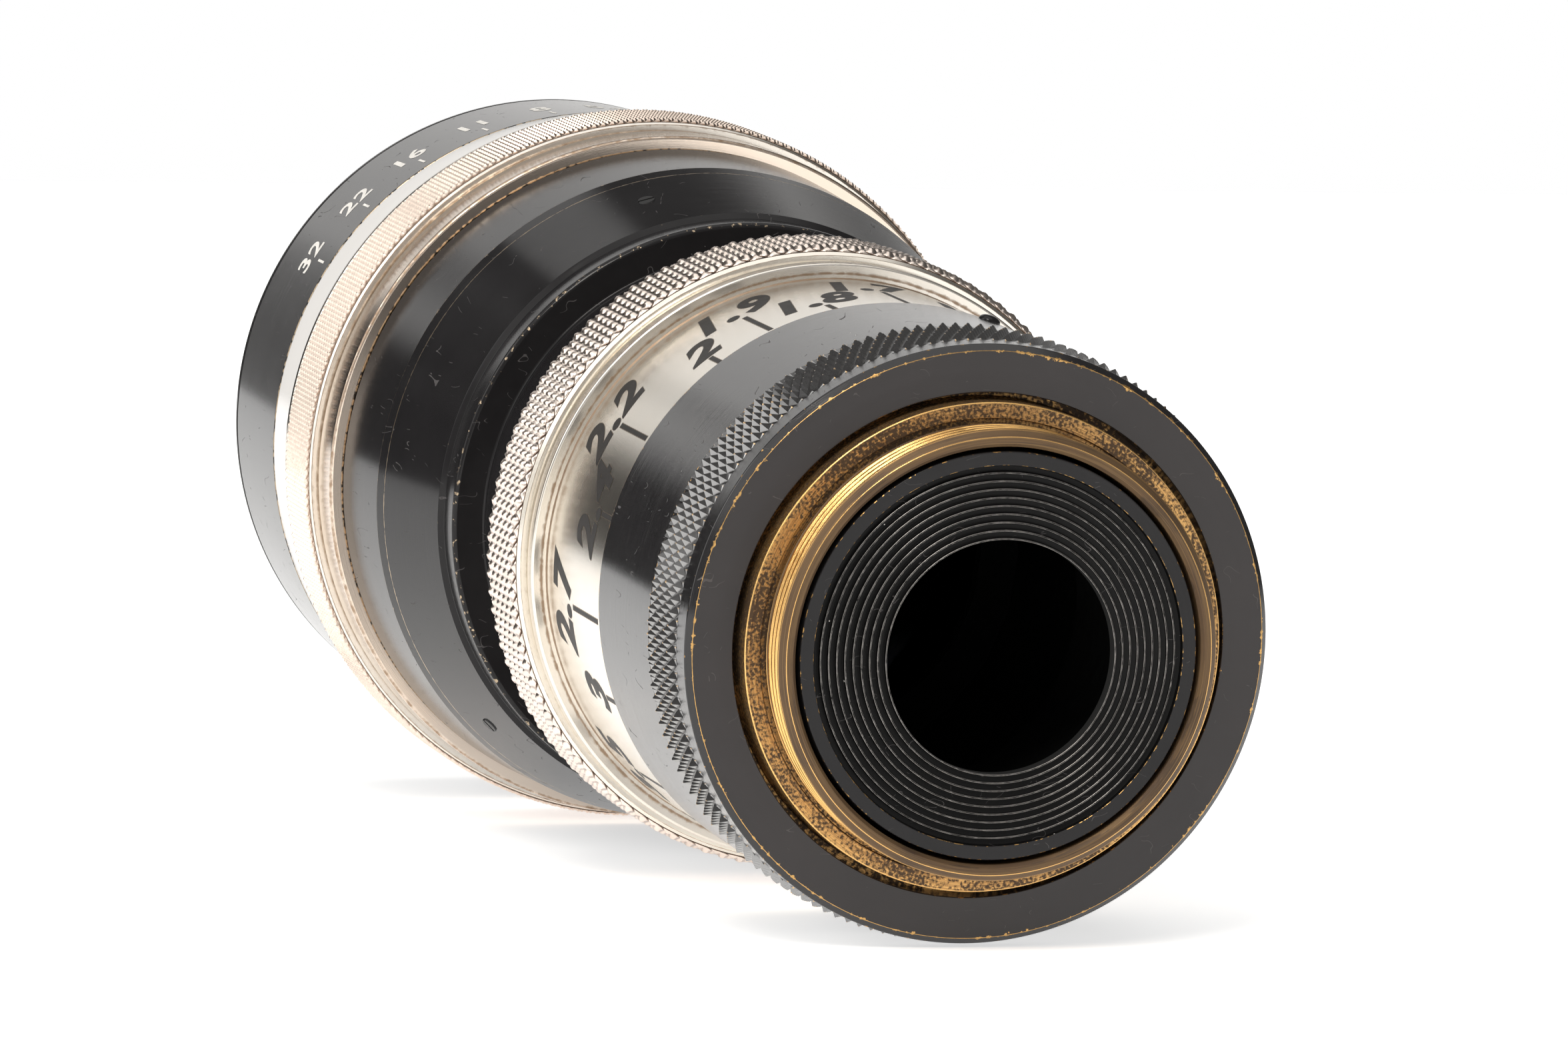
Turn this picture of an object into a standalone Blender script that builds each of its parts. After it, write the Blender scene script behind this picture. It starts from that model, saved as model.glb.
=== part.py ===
"""A nickel and black portrait lens on a brass camera thread, modelled as its separate pieces.

The optical axis is Y. The camera seat lies in the plane Y = 0, the rear of the lens points to +Y,
the front to -Y, and Z is up. Lengths below are millimetres. A station is a distance in front of
the camera seat, so a point at station s lies at y = -s.
"""

import math

import bmesh
import bpy
from mathutils import Matrix, Vector

MM = 0.001

# Fits
GAP = 0.3  # between pieces that meet
RUNNING = 0.4  # radial, between pieces that turn on each other
CLEAR = 1.0  # how far a cutter runs past what it cuts
SMALL_EDGE = 0.4  # chamfer of the collar, the trim band and the aperture ring
SEGMENTS = 32  # around the outside pieces
INNER_SEGMENTS = 24  # around the glass and its rings

# Camera thread and its flange
THREAD_RADIUS = 19.5  # 39 mm camera thread
THREAD_PITCH = 25.4 / 26
THREAD_DEPTH = 0.55
THREAD_TURNS = 4
THREAD_CREST = 0.35  # places of the crest and the root, as shares of the pitch
THREAD_ROOT = 0.85
THREAD_RELIEF = 1.0
FLANGE_BORE = 18.0
SEAT_RADIUS = 21.2
SEAT_STANDS = 1.3  # the seat stands this far behind the black rear face
SEAT_UNDERCUT = 0.3  # relief turned where the thread runs into the seat
SEAT_GROOVE = 0.66  # open ring between the seat and the rear face
SHOULDER_WIDTH = 2.8  # least, outside the seat
SHOULDER_STANDS = 1.0  # least, outside the fixed tube
SHOULDER_LENGTH = 3.0
LIP_LENGTH = 2.7

# Rear lock ring and the black band in front of it
LOCK_LENGTH = 12.2
LOCK_PLAIN = 3.2
LOCK_STANDS = 0.8  # least, the knurl over the scale sleeve
LOCK_WALL = 2.2  # least
LOCK_KNURL_STANDS = 0.5  # the knurl over the plain part
LOCK_CHAMFER = 0.55
BAND_LENGTH = 17.1
BAND_STANDS = 0.2

# Focusing mount, from the inside out
HEAD_TUBE_RADIUS = 21.6
HEAD_TUBE_WALL = 1.3
FIXED_TUBE_WALL = 1.1
HELICOID_WALL = 1.2
HELICOID_LENGTH = 14.5
SLEEVE_WALL = 0.9
SCALE_LENGTH = 18.6
BEAD_LENGTH = 1.9
BEAD_STANDS = 1.4
BEAD_EASE = 0.3  # off its corners, across the bead and along it
BEAD_EASE_ALONG = 0.4
GRIP_LENGTH = 9.6
GRIP_WALL = 2.5
GRIP_CHAMFER = 0.5
KEY_WIDTH = 3.0
KEY_LENGTH = 8.0
KEY_ANGLE = 270.0
KEY_FIT = 0.05  # the key below the outside of the sliding tube
KEY_SLOT_SPARE = 2.0  # beyond the travel

# Focusing travel
FOCUS_LEAD = 13.889  # per turn
FOCUS_TO_FAR = 271.1  # degrees from rest to the far stop
HEAD_TO_FAR = FOCUS_LEAD * FOCUS_TO_FAR / 360

# Rangefinder sleeve
CAM_WALL = 1.4
CAM_LENGTH = 30.0
BAFFLE_RADIUS = 10.1
BAFFLE_LAND = 1.2
BAFFLE_RISE = 0.6  # the edge of the opening behind the sleeve's land
BAFFLE_THICKNESS = 1.4

# Lens head
EXPOSED_BARREL = 15.7  # between the grip and the head at rest
COLLAR_WIDTH = 3.0
COLLAR_LENGTH = 3.2
COLLAR_SHOULDER = 0.5  # rise of the chamfer between the collar and the cone
COLLAR_SHOULDER_LENGTH = 0.45
CONE_LENGTH = 12.3
HEAD_BAND_LENGTH = 11.5
HEAD_BAND_TAPER = 0.5
HEAD_WALL = 1.7
CHAMBER_LENGTH = 18.4
TRIM_LENGTH = 4.8
TRIM_STANDS = 1.2

# Aperture control
FRONT_TUBE_RADIUS = 29.3
FRONT_TUBE_WALL = 1.7
APERTURE_WALL = 4.0
APERTURE_LENGTH = 9.2
BEVEL_LENGTH = 10.7
BEVEL_DROP = 1.4
APERTURE_SCALE_LENGTH = 19.0
APERTURE_SCALE_DROP = 0.8
BEZEL_LENGTH = 9.0
BEZEL_FLANGE = 0.7
APERTURE_TURN = 75.0  # degrees from wide open to the smallest stop
BEZEL_LIP = 0.6  # inwards from the lens mount's outside
BEZEL_MOUTH = 2.5
BEZEL_STEP = 0.6
DRIVE_ANGLE = 270.0
DRIVE_WINDOW_SPARE = 10.0  # degrees beyond the turn at each end
ARM_THICKNESS = 1.0
ARM_SPREAD = 8.0  # degrees to each side of the drive screw
ARM_REACH = 2.0  # beyond the drive screw

# Iris
BLADES = 12
BLADE_PIVOT_RADIUS = 25.2
BLADE_PIVOT_STANDS = 1.3  # the pivot outside the blade's outer edge, wide open
BLADE_WIDTH = 6.6
BLADE_SPAN = 105.0  # degrees of arc
BLADE_THICKNESS = 0.16
BLADE_PITCH = 0.32  # from one blade's layer to the next
BLADE_EAR = 1.1
PIVOT_PIN_RADIUS = 0.45
IRIS_PLATE = 1.5
IRIS_BORE_STANDS = 0.4  # the rings' bore outside the open blades
EAR_ANGLES = (-60, -20, 20, 60)  # corners of a blade's rounded ear
BLADE_STEPS = 10

# Glass
FRONT_ELEMENT_EDGE = 3.2
FRONT_ELEMENT_CURVE = 75.0
FRONT_DOUBLET_EDGE = 4.5
FRONT_DOUBLET_CURVE = 60.0
FRONT_AIR_SPACE = 0.25  # the spacer beyond the height of the doublet's dome
FRONT_SPACER_WALL = 1.0
DOUBLET_LEDGE = 1.0  # the doublet's bore inside the front element's
REAR_ELEMENT_LENGTH = 5.7
REAR_ELEMENT_EDGE = 2.7
REAR_ELEMENT_CURVE = 60.0
REAR_DOUBLET_LENGTH = 9.7
REAR_DOUBLET_EDGE = 7.1
REAR_DOUBLET_CURVE = 70.0
REAR_SPACER_LENGTH = 5.2
REAR_CELL_LENGTH = 26.0
REAR_CELL_INSET = 5.0  # behind the front end of the sliding tube
RETAINER_LENGTH = 2.0
RETAINER_WIDTH = 1.8
CELL_WALL = 1.7
LENS_LEDGE = 2.3
LENS_LIP = 1.5

# Small fasteners
INDEX_PIN_RADIUS = 1.0
INDEX_PIN_STANDS = 0.5
INDEX_PIN_ANGLE = 108.0
INDEX_PIN_INSET = 2.6  # behind the front edge of the band
INDEX_PIN_DEPTH = 1.6
INDEX_PIN_TIP = 0.7  # share of its radius
GRIP_SCREW_RADIUS = 0.6
GRIP_SCREW_DEPTH = 3.0
GRIP_SCREW_ANGLES = (30, 150, 270)
HEAD_SCREW_RADIUS = 0.9
HEAD_SCREW_ANGLES = (75.0, 195.0, 315.0)
HEAD_SCREW_DEPTH = 1.2
DRIVE_SCREW_RADIUS = 0.9

FINISHES = {
    "black_lacquer": ((0.012, 0.012, 0.013), 0.22, 0.3),
    "black_satin": ((0.030, 0.027, 0.027), 0.42, 0.5),
    "brass": ((0.62, 0.40, 0.14), 0.34, 1.0),
    "nickel": ((0.73, 0.68, 0.62), 0.26, 1.0),
    "steel": ((0.30, 0.30, 0.31), 0.35, 1.0),
    "glass": ((0.80, 0.86, 0.84), 0.04, 0.0),
}


def finish_named(name):
    """The Principled material of one finish, made once."""
    material = bpy.data.materials.get(name)
    if material is None:
        colour, roughness, metallic = FINISHES[name]
        material = bpy.data.materials.new(name)
        material.use_nodes = True
        shader = material.node_tree.nodes["Principled BSDF"]
        shader.inputs["Base Color"].default_value = (*colour, 1.0)
        shader.inputs["Roughness"].default_value = roughness
        shader.inputs["Metallic"].default_value = metallic
        if name == "glass":
            shader.inputs["Transmission Weight"].default_value = 1.0
    return material


def add_object(name, bm, finish, body):
    """Turns a bmesh into a smooth-shaded object under the empty of its moving body."""
    bmesh.ops.recalc_face_normals(bm, faces=bm.faces)
    mesh = bpy.data.meshes.new(name)
    bm.to_mesh(mesh)
    bm.free()
    mesh.shade_smooth()
    mesh.set_sharp_from_angle(angle=math.radians(35))
    obj = bpy.data.objects.new(name, mesh)
    bpy.context.scene.collection.objects.link(obj)
    obj.parent = body
    if finish:
        mesh.materials.append(finish_named(finish))
    return obj


def turned(name, outline, finish, body, segments=SEGMENTS):
    """Spins a closed outline of (radius, station) points about the optical axis."""
    bm = bmesh.new()
    corners = [bm.verts.new((radius * MM, -station * MM, 0)) for radius, station in outline]
    pairs = zip(corners, corners[1:] + corners[:1])
    edges = [bm.edges.new(pair) for pair in pairs if pair[0].co.x > 0 or pair[1].co.x > 0]
    bmesh.ops.spin(
        bm,
        geom=corners + edges,
        cent=(0, 0, 0),
        axis=(0, 1, 0),
        angle=2 * math.pi,
        steps=segments,
        use_merge=True,
    )
    bmesh.ops.remove_doubles(bm, verts=bm.verts, dist=1e-7)
    return add_object(name, bm, finish, body)


def tube(name, inner, outer, rear, front, finish, body, segments=SEGMENTS):
    """A plain ring between two radii and two stations."""
    outline = [(inner, rear), (outer, rear), (outer, front), (inner, front)]
    return turned(name, outline, finish, body, segments)


def radial_frame(angle, radius, station):
    """Matrix whose Z points out from the axis at an angle counted from +X towards +Z."""
    turn = math.radians(angle)
    outward = Vector((math.cos(turn), 0, math.sin(turn)))
    centre = outward * radius + Vector((0, -station, 0))
    rotation = outward.to_track_quat("Z", "Y").to_matrix().to_4x4()
    return Matrix.Translation(centre * MM) @ rotation


def axial_frame(angle, radius, station):
    """Matrix whose Z points to the front of the lens, at a place off the axis."""
    turn = math.radians(angle)
    centre = Vector((radius * math.cos(turn), -station, radius * math.sin(turn)))
    return Matrix.Translation(centre * MM) @ Matrix.Rotation(math.radians(90), 4, "X")


def rods(name, frames, radius, length, finish, body, sides=16, tip=None):
    """Cylinders centred on the given frames, as one mesh. A tip radius below radius tapers them."""
    bm = bmesh.new()
    for frame in frames:
        bmesh.ops.create_cone(
            bm,
            cap_ends=True,
            segments=sides,
            radius1=radius * MM,
            radius2=(radius if tip is None else tip) * MM,
            depth=length * MM,
            matrix=frame,
        )
    return add_object(name, bm, finish, body)


def sector(name, inner, outer, rear, front, start, end, finish, body):
    """A ring sector between two angles, counted from +X towards +Z."""
    bm = bmesh.new()
    steps = max(2, math.ceil((end - start) / 6))
    turn = math.radians(start)
    corners = []
    for radius, station in ((inner, rear), (outer, rear), (outer, front), (inner, front)):
        place = (radius * math.cos(turn), -station, radius * math.sin(turn))
        corners.append(bm.verts.new(Vector(place) * MM))
    face = bm.faces.new(corners)
    bmesh.ops.spin(
        bm,
        geom=[face],
        cent=(0, 0, 0),
        axis=(0, -1, 0),
        angle=math.radians(end - start),
        steps=steps,
    )
    return add_object(name, bm, finish, body)


def combine(obj, helper, operation):
    """Takes a hidden helper out of an object, or joins it on, with a live Boolean."""
    helper.hide_render = True
    helper.display_type = "WIRE"
    modifier = obj.modifiers.new(helper.name, "BOOLEAN")
    modifier.operation = operation
    modifier.solver = "EXACT"
    modifier.object = helper


def add_body(name, parent=None):
    """An empty on the optical axis that carries the pieces which move together."""
    empty = bpy.data.objects.new(name, None)
    bpy.context.scene.collection.objects.link(empty)
    empty.parent = parent
    return empty


def dish_height(radius, curve):
    """How far a spherical face of this curve falls away at a radius."""
    return curve - math.sqrt(curve * curve - radius * radius)


def dish(radius, curve, station, towards_front, points=4):
    """Points of a spherical lens face from its rim to the axis, bulging to the front or rear."""
    side = 1 if towards_front else -1
    face = []
    for step in range(points + 1):
        r = radius * (1 - step / points)
        face.append((r, station + side * (dish_height(radius, curve) - dish_height(r, curve))))
    return face


# Stations along the axis, from the camera thread to the front
RIM = -(THREAD_RELIEF + THREAD_TURNS * THREAD_PITCH)
REAR_FACE = SEAT_STANDS
SHOULDER = REAR_FACE + LIP_LENGTH + GAP
SHOULDER_FRONT = SHOULDER + SHOULDER_LENGTH
LOCK_FRONT = REAR_FACE + LOCK_LENGTH
BAND_REAR = LOCK_FRONT + GAP
BAND_FRONT = BAND_REAR + BAND_LENGTH
SLEEVE_REAR = BAND_FRONT + GAP
BEAD_REAR = SLEEVE_REAR + SCALE_LENGTH
BEAD_FRONT = BEAD_REAR + BEAD_LENGTH
GRIP_REAR = BEAD_FRONT + GAP
GRIP_FRONT = GRIP_REAR + GRIP_LENGTH
HELICOID_FRONT = SLEEVE_REAR + HELICOID_LENGTH
HEAD_TUBE_REAR = SHOULDER_FRONT + HEAD_TO_FAR + 2 * GAP
BARREL_REAR = HELICOID_FRONT + HEAD_TO_FAR + 2 * GAP
HEAD_REAR = GRIP_FRONT + EXPOSED_BARREL
CONE_REAR = HEAD_REAR + COLLAR_LENGTH + COLLAR_SHOULDER_LENGTH
CONE_FRONT = CONE_REAR + CONE_LENGTH
HEAD_FRONT = CONE_FRONT + HEAD_BAND_LENGTH
CHAMBER_REAR = HEAD_FRONT - CHAMBER_LENGTH
TRIM_REAR = HEAD_FRONT + GAP
TRIM_FRONT = TRIM_REAR + TRIM_LENGTH
APERTURE_REAR = TRIM_FRONT + GAP
APERTURE_FRONT = APERTURE_REAR + APERTURE_LENGTH
BEVEL_REAR = APERTURE_FRONT + GAP
BEVEL_FRONT = BEVEL_REAR + BEVEL_LENGTH
STOPS_REAR = BEVEL_FRONT + GAP
STOPS_FRONT = STOPS_REAR + APERTURE_SCALE_LENGTH
BEZEL_REAR = STOPS_FRONT + GAP
LENS_FRONT = BEZEL_REAR + BEZEL_FLANGE

# Radii, each from the piece inside it
GROOVE_RADIUS = SEAT_RADIUS + SEAT_GROOVE
CAM_RADIUS = FLANGE_BORE - RUNNING
CAM_BORE = CAM_RADIUS - CAM_WALL
HEAD_TUBE_BORE = HEAD_TUBE_RADIUS - HEAD_TUBE_WALL
FIXED_TUBE_BORE = HEAD_TUBE_RADIUS + GAP
FIXED_TUBE_RADIUS = FIXED_TUBE_BORE + FIXED_TUBE_WALL
SHOULDER_RADIUS = max(SEAT_RADIUS + SHOULDER_WIDTH, FIXED_TUBE_RADIUS + SHOULDER_STANDS)
HELICOID_BORE = FIXED_TUBE_RADIUS + GAP
HELICOID_RADIUS = HELICOID_BORE + HELICOID_WALL
SLEEVE_BORE = HELICOID_RADIUS + GAP
SCALE_RADIUS = SLEEVE_BORE + SLEEVE_WALL
GRIP_BORE = SCALE_RADIUS + GAP
GRIP_RADIUS = GRIP_BORE + GRIP_WALL
BARREL_RADIUS = SLEEVE_BORE - GAP
BAND_RADIUS = SCALE_RADIUS + BAND_STANDS
LOCK_BORE = SHOULDER_RADIUS + GAP
LOCK_RADIUS = max(SCALE_RADIUS + LOCK_STANDS, LOCK_BORE + LOCK_WALL)
COLLAR_RADIUS = BARREL_RADIUS + COLLAR_WIDTH
FRONT_TUBE_BORE = FRONT_TUBE_RADIUS - FRONT_TUBE_WALL
HEAD_BORE = FRONT_TUBE_RADIUS + GAP
HEAD_RADIUS = HEAD_BORE + HEAD_WALL
TRIM_RADIUS = HEAD_RADIUS + TRIM_STANDS
APERTURE_BORE = FRONT_TUBE_RADIUS + RUNNING
APERTURE_RADIUS = APERTURE_BORE + APERTURE_WALL
BEVEL_RADIUS = APERTURE_RADIUS - GAP
STOPS_RADIUS = BEVEL_RADIUS - BEVEL_DROP
BEZEL_RADIUS = STOPS_RADIUS - APERTURE_SCALE_DROP
LENS_MOUNT_RADIUS = FRONT_TUBE_BORE - GAP

# Iris layers
IRIS_PLATE_REAR = CHAMBER_REAR + 2 * GAP
BLADES_REAR = IRIS_PLATE_REAR + IRIS_PLATE + GAP
IRIS_CAM_REAR = BLADES_REAR + BLADES * BLADE_PITCH + GAP
IRIS_CAM_FRONT = IRIS_CAM_REAR + IRIS_PLATE
IRIS_RADIUS = BLADE_PIVOT_RADIUS + BLADE_EAR + GAP
BLADE_OPEN_RADIUS = BLADE_PIVOT_RADIUS - BLADE_PIVOT_STANDS - BLADE_WIDTH
DRIVE_STATION = APERTURE_REAR + APERTURE_LENGTH / 2
ARM_RADIUS = FRONT_TUBE_BORE - GAP
ARM_BORE = ARM_RADIUS - ARM_THICKNESS
IRIS_CAM_RADIUS = max(IRIS_RADIUS, ARM_RADIUS)  # the arm stands on the cam ring
ARM_FRONT = DRIVE_STATION + DRIVE_SCREW_RADIUS + ARM_REACH
FRONT_TUBE_REAR = IRIS_CAM_FRONT + GAP + CLEAR


def camera_mount(body):
    """Brass thread and seat, lock ring, rear band, index pin and the head's guide key."""
    thread = []
    for turn in range(THREAD_TURNS):
        start = RIM + turn * THREAD_PITCH
        thread.append((THREAD_RADIUS, start + THREAD_PITCH * THREAD_CREST))
        thread.append((THREAD_RADIUS - THREAD_DEPTH, start + THREAD_PITCH * THREAD_ROOT))
    outline = [(FLANGE_BORE, RIM), (THREAD_RADIUS - THREAD_DEPTH, RIM)]
    outline += thread
    outline += [
        (THREAD_RADIUS - THREAD_DEPTH, SEAT_UNDERCUT),
        (THREAD_RADIUS + SEAT_UNDERCUT, SEAT_UNDERCUT),
        (THREAD_RADIUS + SEAT_UNDERCUT, 0),
        (SEAT_RADIUS, 0),
        (SEAT_RADIUS, SHOULDER),
        (SHOULDER_RADIUS, SHOULDER),
        (SHOULDER_RADIUS, SHOULDER_FRONT),
        (FLANGE_BORE, SHOULDER_FRONT),
    ]
    turned("mount_flange", outline, "brass", body)

    plain_radius = LOCK_RADIUS - LOCK_KNURL_STANDS
    outline = [
        (GROOVE_RADIUS, REAR_FACE),
        (plain_radius - LOCK_CHAMFER, REAR_FACE),
        (plain_radius, REAR_FACE + LOCK_CHAMFER),
        (plain_radius, REAR_FACE + LOCK_PLAIN),
        (LOCK_RADIUS, REAR_FACE + LOCK_PLAIN),
        (LOCK_RADIUS, LOCK_FRONT),
        (LOCK_BORE, LOCK_FRONT),
        (LOCK_BORE, REAR_FACE + LIP_LENGTH),
        (GROOVE_RADIUS, REAR_FACE + LIP_LENGTH),
    ]
    turned("lock_ring", outline, "black_satin", body)

    spigot_rear = SHOULDER_FRONT + GAP
    outline = [
        (FIXED_TUBE_BORE, spigot_rear),
        (LOCK_BORE - GAP, spigot_rear),
        (LOCK_BORE - GAP, BAND_REAR),
        (BAND_RADIUS, BAND_REAR),
        (BAND_RADIUS, BAND_FRONT),
        (FIXED_TUBE_RADIUS, BAND_FRONT),
        (FIXED_TUBE_RADIUS, HELICOID_FRONT),
        (FIXED_TUBE_BORE, HELICOID_FRONT),
    ]
    rear_barrel = turned("rear_barrel", outline, "black_lacquer", body)

    pin_station = BAND_FRONT - INDEX_PIN_INSET
    seat = radial_frame(INDEX_PIN_ANGLE, BAND_RADIUS, pin_station)
    hole = rods("index_hole", [seat], INDEX_PIN_RADIUS + GAP, 2 * INDEX_PIN_DEPTH, None, body)
    combine(rear_barrel, hole, "DIFFERENCE")
    length = INDEX_PIN_DEPTH - GAP + INDEX_PIN_STANDS
    tip = INDEX_PIN_RADIUS * INDEX_PIN_TIP
    centre = radial_frame(INDEX_PIN_ANGLE, BAND_RADIUS + INDEX_PIN_STANDS - length / 2, pin_station)
    rods("index_pin", [centre], INDEX_PIN_RADIUS, length, "nickel", body, tip=tip)

    key_rear = BAND_FRONT - KEY_LENGTH / 2
    half_turn = math.degrees(KEY_WIDTH / 2 / HEAD_TUBE_RADIUS)
    sector(
        "guide_key",
        HEAD_TUBE_BORE + GAP,
        HEAD_TUBE_RADIUS - KEY_FIT,
        key_rear,
        key_rear + KEY_LENGTH,
        KEY_ANGLE - half_turn,
        KEY_ANGLE + half_turn,
        "steel",
        body,
    )
    return key_rear


def focusing_mount(body):
    """Scale sleeve with its bead, knurled grip, helicoid ring and the grip's screws."""
    bead = SCALE_RADIUS + BEAD_STANDS
    outline = [
        (SLEEVE_BORE, SLEEVE_REAR),
        (SCALE_RADIUS, SLEEVE_REAR),
        (SCALE_RADIUS, BEAD_REAR),
        (bead - BEAD_EASE, BEAD_REAR),
        (bead, BEAD_REAR + BEAD_EASE_ALONG),
        (bead, BEAD_FRONT - BEAD_EASE_ALONG),
        (bead - BEAD_EASE, BEAD_FRONT),
        (SCALE_RADIUS, BEAD_FRONT),
        (SCALE_RADIUS, GRIP_FRONT - GAP),
        (SLEEVE_BORE, GRIP_FRONT - GAP),
    ]
    turned("scale_sleeve", outline, "nickel", body)

    outline = [
        (GRIP_BORE, GRIP_REAR),
        (GRIP_RADIUS - GRIP_CHAMFER, GRIP_REAR),
        (GRIP_RADIUS, GRIP_REAR + GRIP_CHAMFER),
        (GRIP_RADIUS, GRIP_FRONT - GRIP_CHAMFER),
        (GRIP_RADIUS - GRIP_CHAMFER, GRIP_FRONT),
        (GRIP_BORE, GRIP_FRONT),
    ]
    grip = turned("grip_ring", outline, "nickel", body)
    middle = (GRIP_BORE + GRIP_RADIUS) / 2
    places = [(angle, middle) for angle in GRIP_SCREW_ANGLES]
    mouths = [axial_frame(angle, radius, GRIP_FRONT) for angle, radius in places]
    holes = rods("grip_screw_holes", mouths, GRIP_SCREW_RADIUS + GAP, 2 * GRIP_SCREW_DEPTH, None, body)
    combine(grip, holes, "DIFFERENCE")
    screw_length = GRIP_SCREW_DEPTH - 2 * GAP
    for number, (angle, radius) in enumerate(places, 1):
        centre = axial_frame(angle, radius, GRIP_FRONT - GAP - screw_length / 2)
        rods(f"grip_screw_{number}", [centre], GRIP_SCREW_RADIUS, screw_length, "steel", body)

    tube("focus_helicoid", HELICOID_BORE, HELICOID_RADIUS, SLEEVE_REAR, HELICOID_FRONT, "brass", body)


def rangefinder_sleeve(body):
    """Sleeve inside the camera thread, closed down to the light baffle at its rear end."""
    land = RIM + GAP
    outline = [
        (BAFFLE_RADIUS, land - BAFFLE_RISE),
        (CAM_RADIUS - BAFFLE_LAND, land + GAP),
        (CAM_RADIUS - BAFFLE_LAND, land),
        (CAM_RADIUS, land),
        (CAM_RADIUS, land + CAM_LENGTH),
        (CAM_BORE, land + CAM_LENGTH),
        (CAM_BORE, land + GAP + BAFFLE_THICKNESS),
        (BAFFLE_RADIUS, land - BAFFLE_RISE + BAFFLE_THICKNESS),
    ]
    turned("rangefinder_sleeve", outline, "black_satin", body)


def head_barrel(body, key_rear):
    """Sliding tube, black head shell, trim band, front tube and the head's screws."""
    head_tube = tube(
        "head_tube",
        HEAD_TUBE_BORE,
        HEAD_TUBE_RADIUS,
        HEAD_TUBE_REAR,
        CHAMBER_REAR,
        "black_satin",
        body,
    )
    slot_front = key_rear + KEY_LENGTH + HEAD_TO_FAR + KEY_SLOT_SPARE
    slot_width = KEY_WIDTH / 2 + GAP
    half_turn = math.degrees(slot_width / HEAD_TUBE_RADIUS)
    slot = sector(
        "key_slot",
        HEAD_TUBE_BORE - CLEAR,
        HEAD_TUBE_RADIUS + CLEAR,
        HEAD_TUBE_REAR - CLEAR,
        slot_front,
        KEY_ANGLE - half_turn,
        KEY_ANGLE + half_turn,
        None,
        body,
    )
    combine(head_tube, slot, "DIFFERENCE")

    shell_bore = HEAD_TUBE_RADIUS + GAP
    outline = [
        (shell_bore, BARREL_REAR),
        (BARREL_RADIUS, BARREL_REAR),
        (BARREL_RADIUS, HEAD_REAR),
        (COLLAR_RADIUS - SMALL_EDGE, HEAD_REAR),
        (COLLAR_RADIUS, HEAD_REAR + SMALL_EDGE),
        (COLLAR_RADIUS, HEAD_REAR + COLLAR_LENGTH),
        (COLLAR_RADIUS + COLLAR_SHOULDER, CONE_REAR),
        (HEAD_RADIUS - HEAD_BAND_TAPER, CONE_FRONT),
        (HEAD_RADIUS, HEAD_FRONT),
        (HEAD_BORE, HEAD_FRONT),
        (HEAD_BORE, CONE_FRONT),
        (IRIS_RADIUS + GAP, CHAMBER_REAR),
        (shell_bore, CHAMBER_REAR),
    ]
    shell = turned("head_shell", outline, "black_lacquer", body)
    screw_station = (CONE_REAR + CONE_FRONT) / 2
    screw_radius = (COLLAR_RADIUS + HEAD_RADIUS) / 2
    depth = HEAD_SCREW_DEPTH
    mouths = [radial_frame(angle, screw_radius, screw_station) for angle in HEAD_SCREW_ANGLES]
    holes = rods("head_screw_holes", mouths, HEAD_SCREW_RADIUS + GAP, 2 * depth, None, body)
    combine(shell, holes, "DIFFERENCE")
    for number, angle in enumerate(HEAD_SCREW_ANGLES, 1):
        centre = radial_frame(angle, screw_radius - depth / 2, screw_station)
        rods(f"head_screw_{number}", [centre], HEAD_SCREW_RADIUS, depth - 2 * GAP, "steel", body)

    bore = FRONT_TUBE_RADIUS + GAP
    outline = [
        (bore, TRIM_REAR),
        (TRIM_RADIUS - SMALL_EDGE, TRIM_REAR),
        (TRIM_RADIUS, TRIM_REAR + SMALL_EDGE),
        (TRIM_RADIUS, TRIM_FRONT - SMALL_EDGE),
        (TRIM_RADIUS - SMALL_EDGE, TRIM_FRONT),
        (bore, TRIM_FRONT),
    ]
    turned("trim_band", outline, "nickel", body)

    front_tube = tube(
        "front_tube",
        FRONT_TUBE_BORE,
        FRONT_TUBE_RADIUS,
        FRONT_TUBE_REAR,
        STOPS_FRONT,
        "black_satin",
        body,
    )
    half = DRIVE_SCREW_RADIUS + GAP
    window = sector(
        "drive_window",
        FRONT_TUBE_BORE - CLEAR,
        FRONT_TUBE_RADIUS + CLEAR,
        DRIVE_STATION - half,
        DRIVE_STATION + half,
        DRIVE_ANGLE - DRIVE_WINDOW_SPARE,
        DRIVE_ANGLE + APERTURE_TURN + DRIVE_WINDOW_SPARE,
        None,
        body,
    )
    combine(front_tube, window, "DIFFERENCE")


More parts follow.
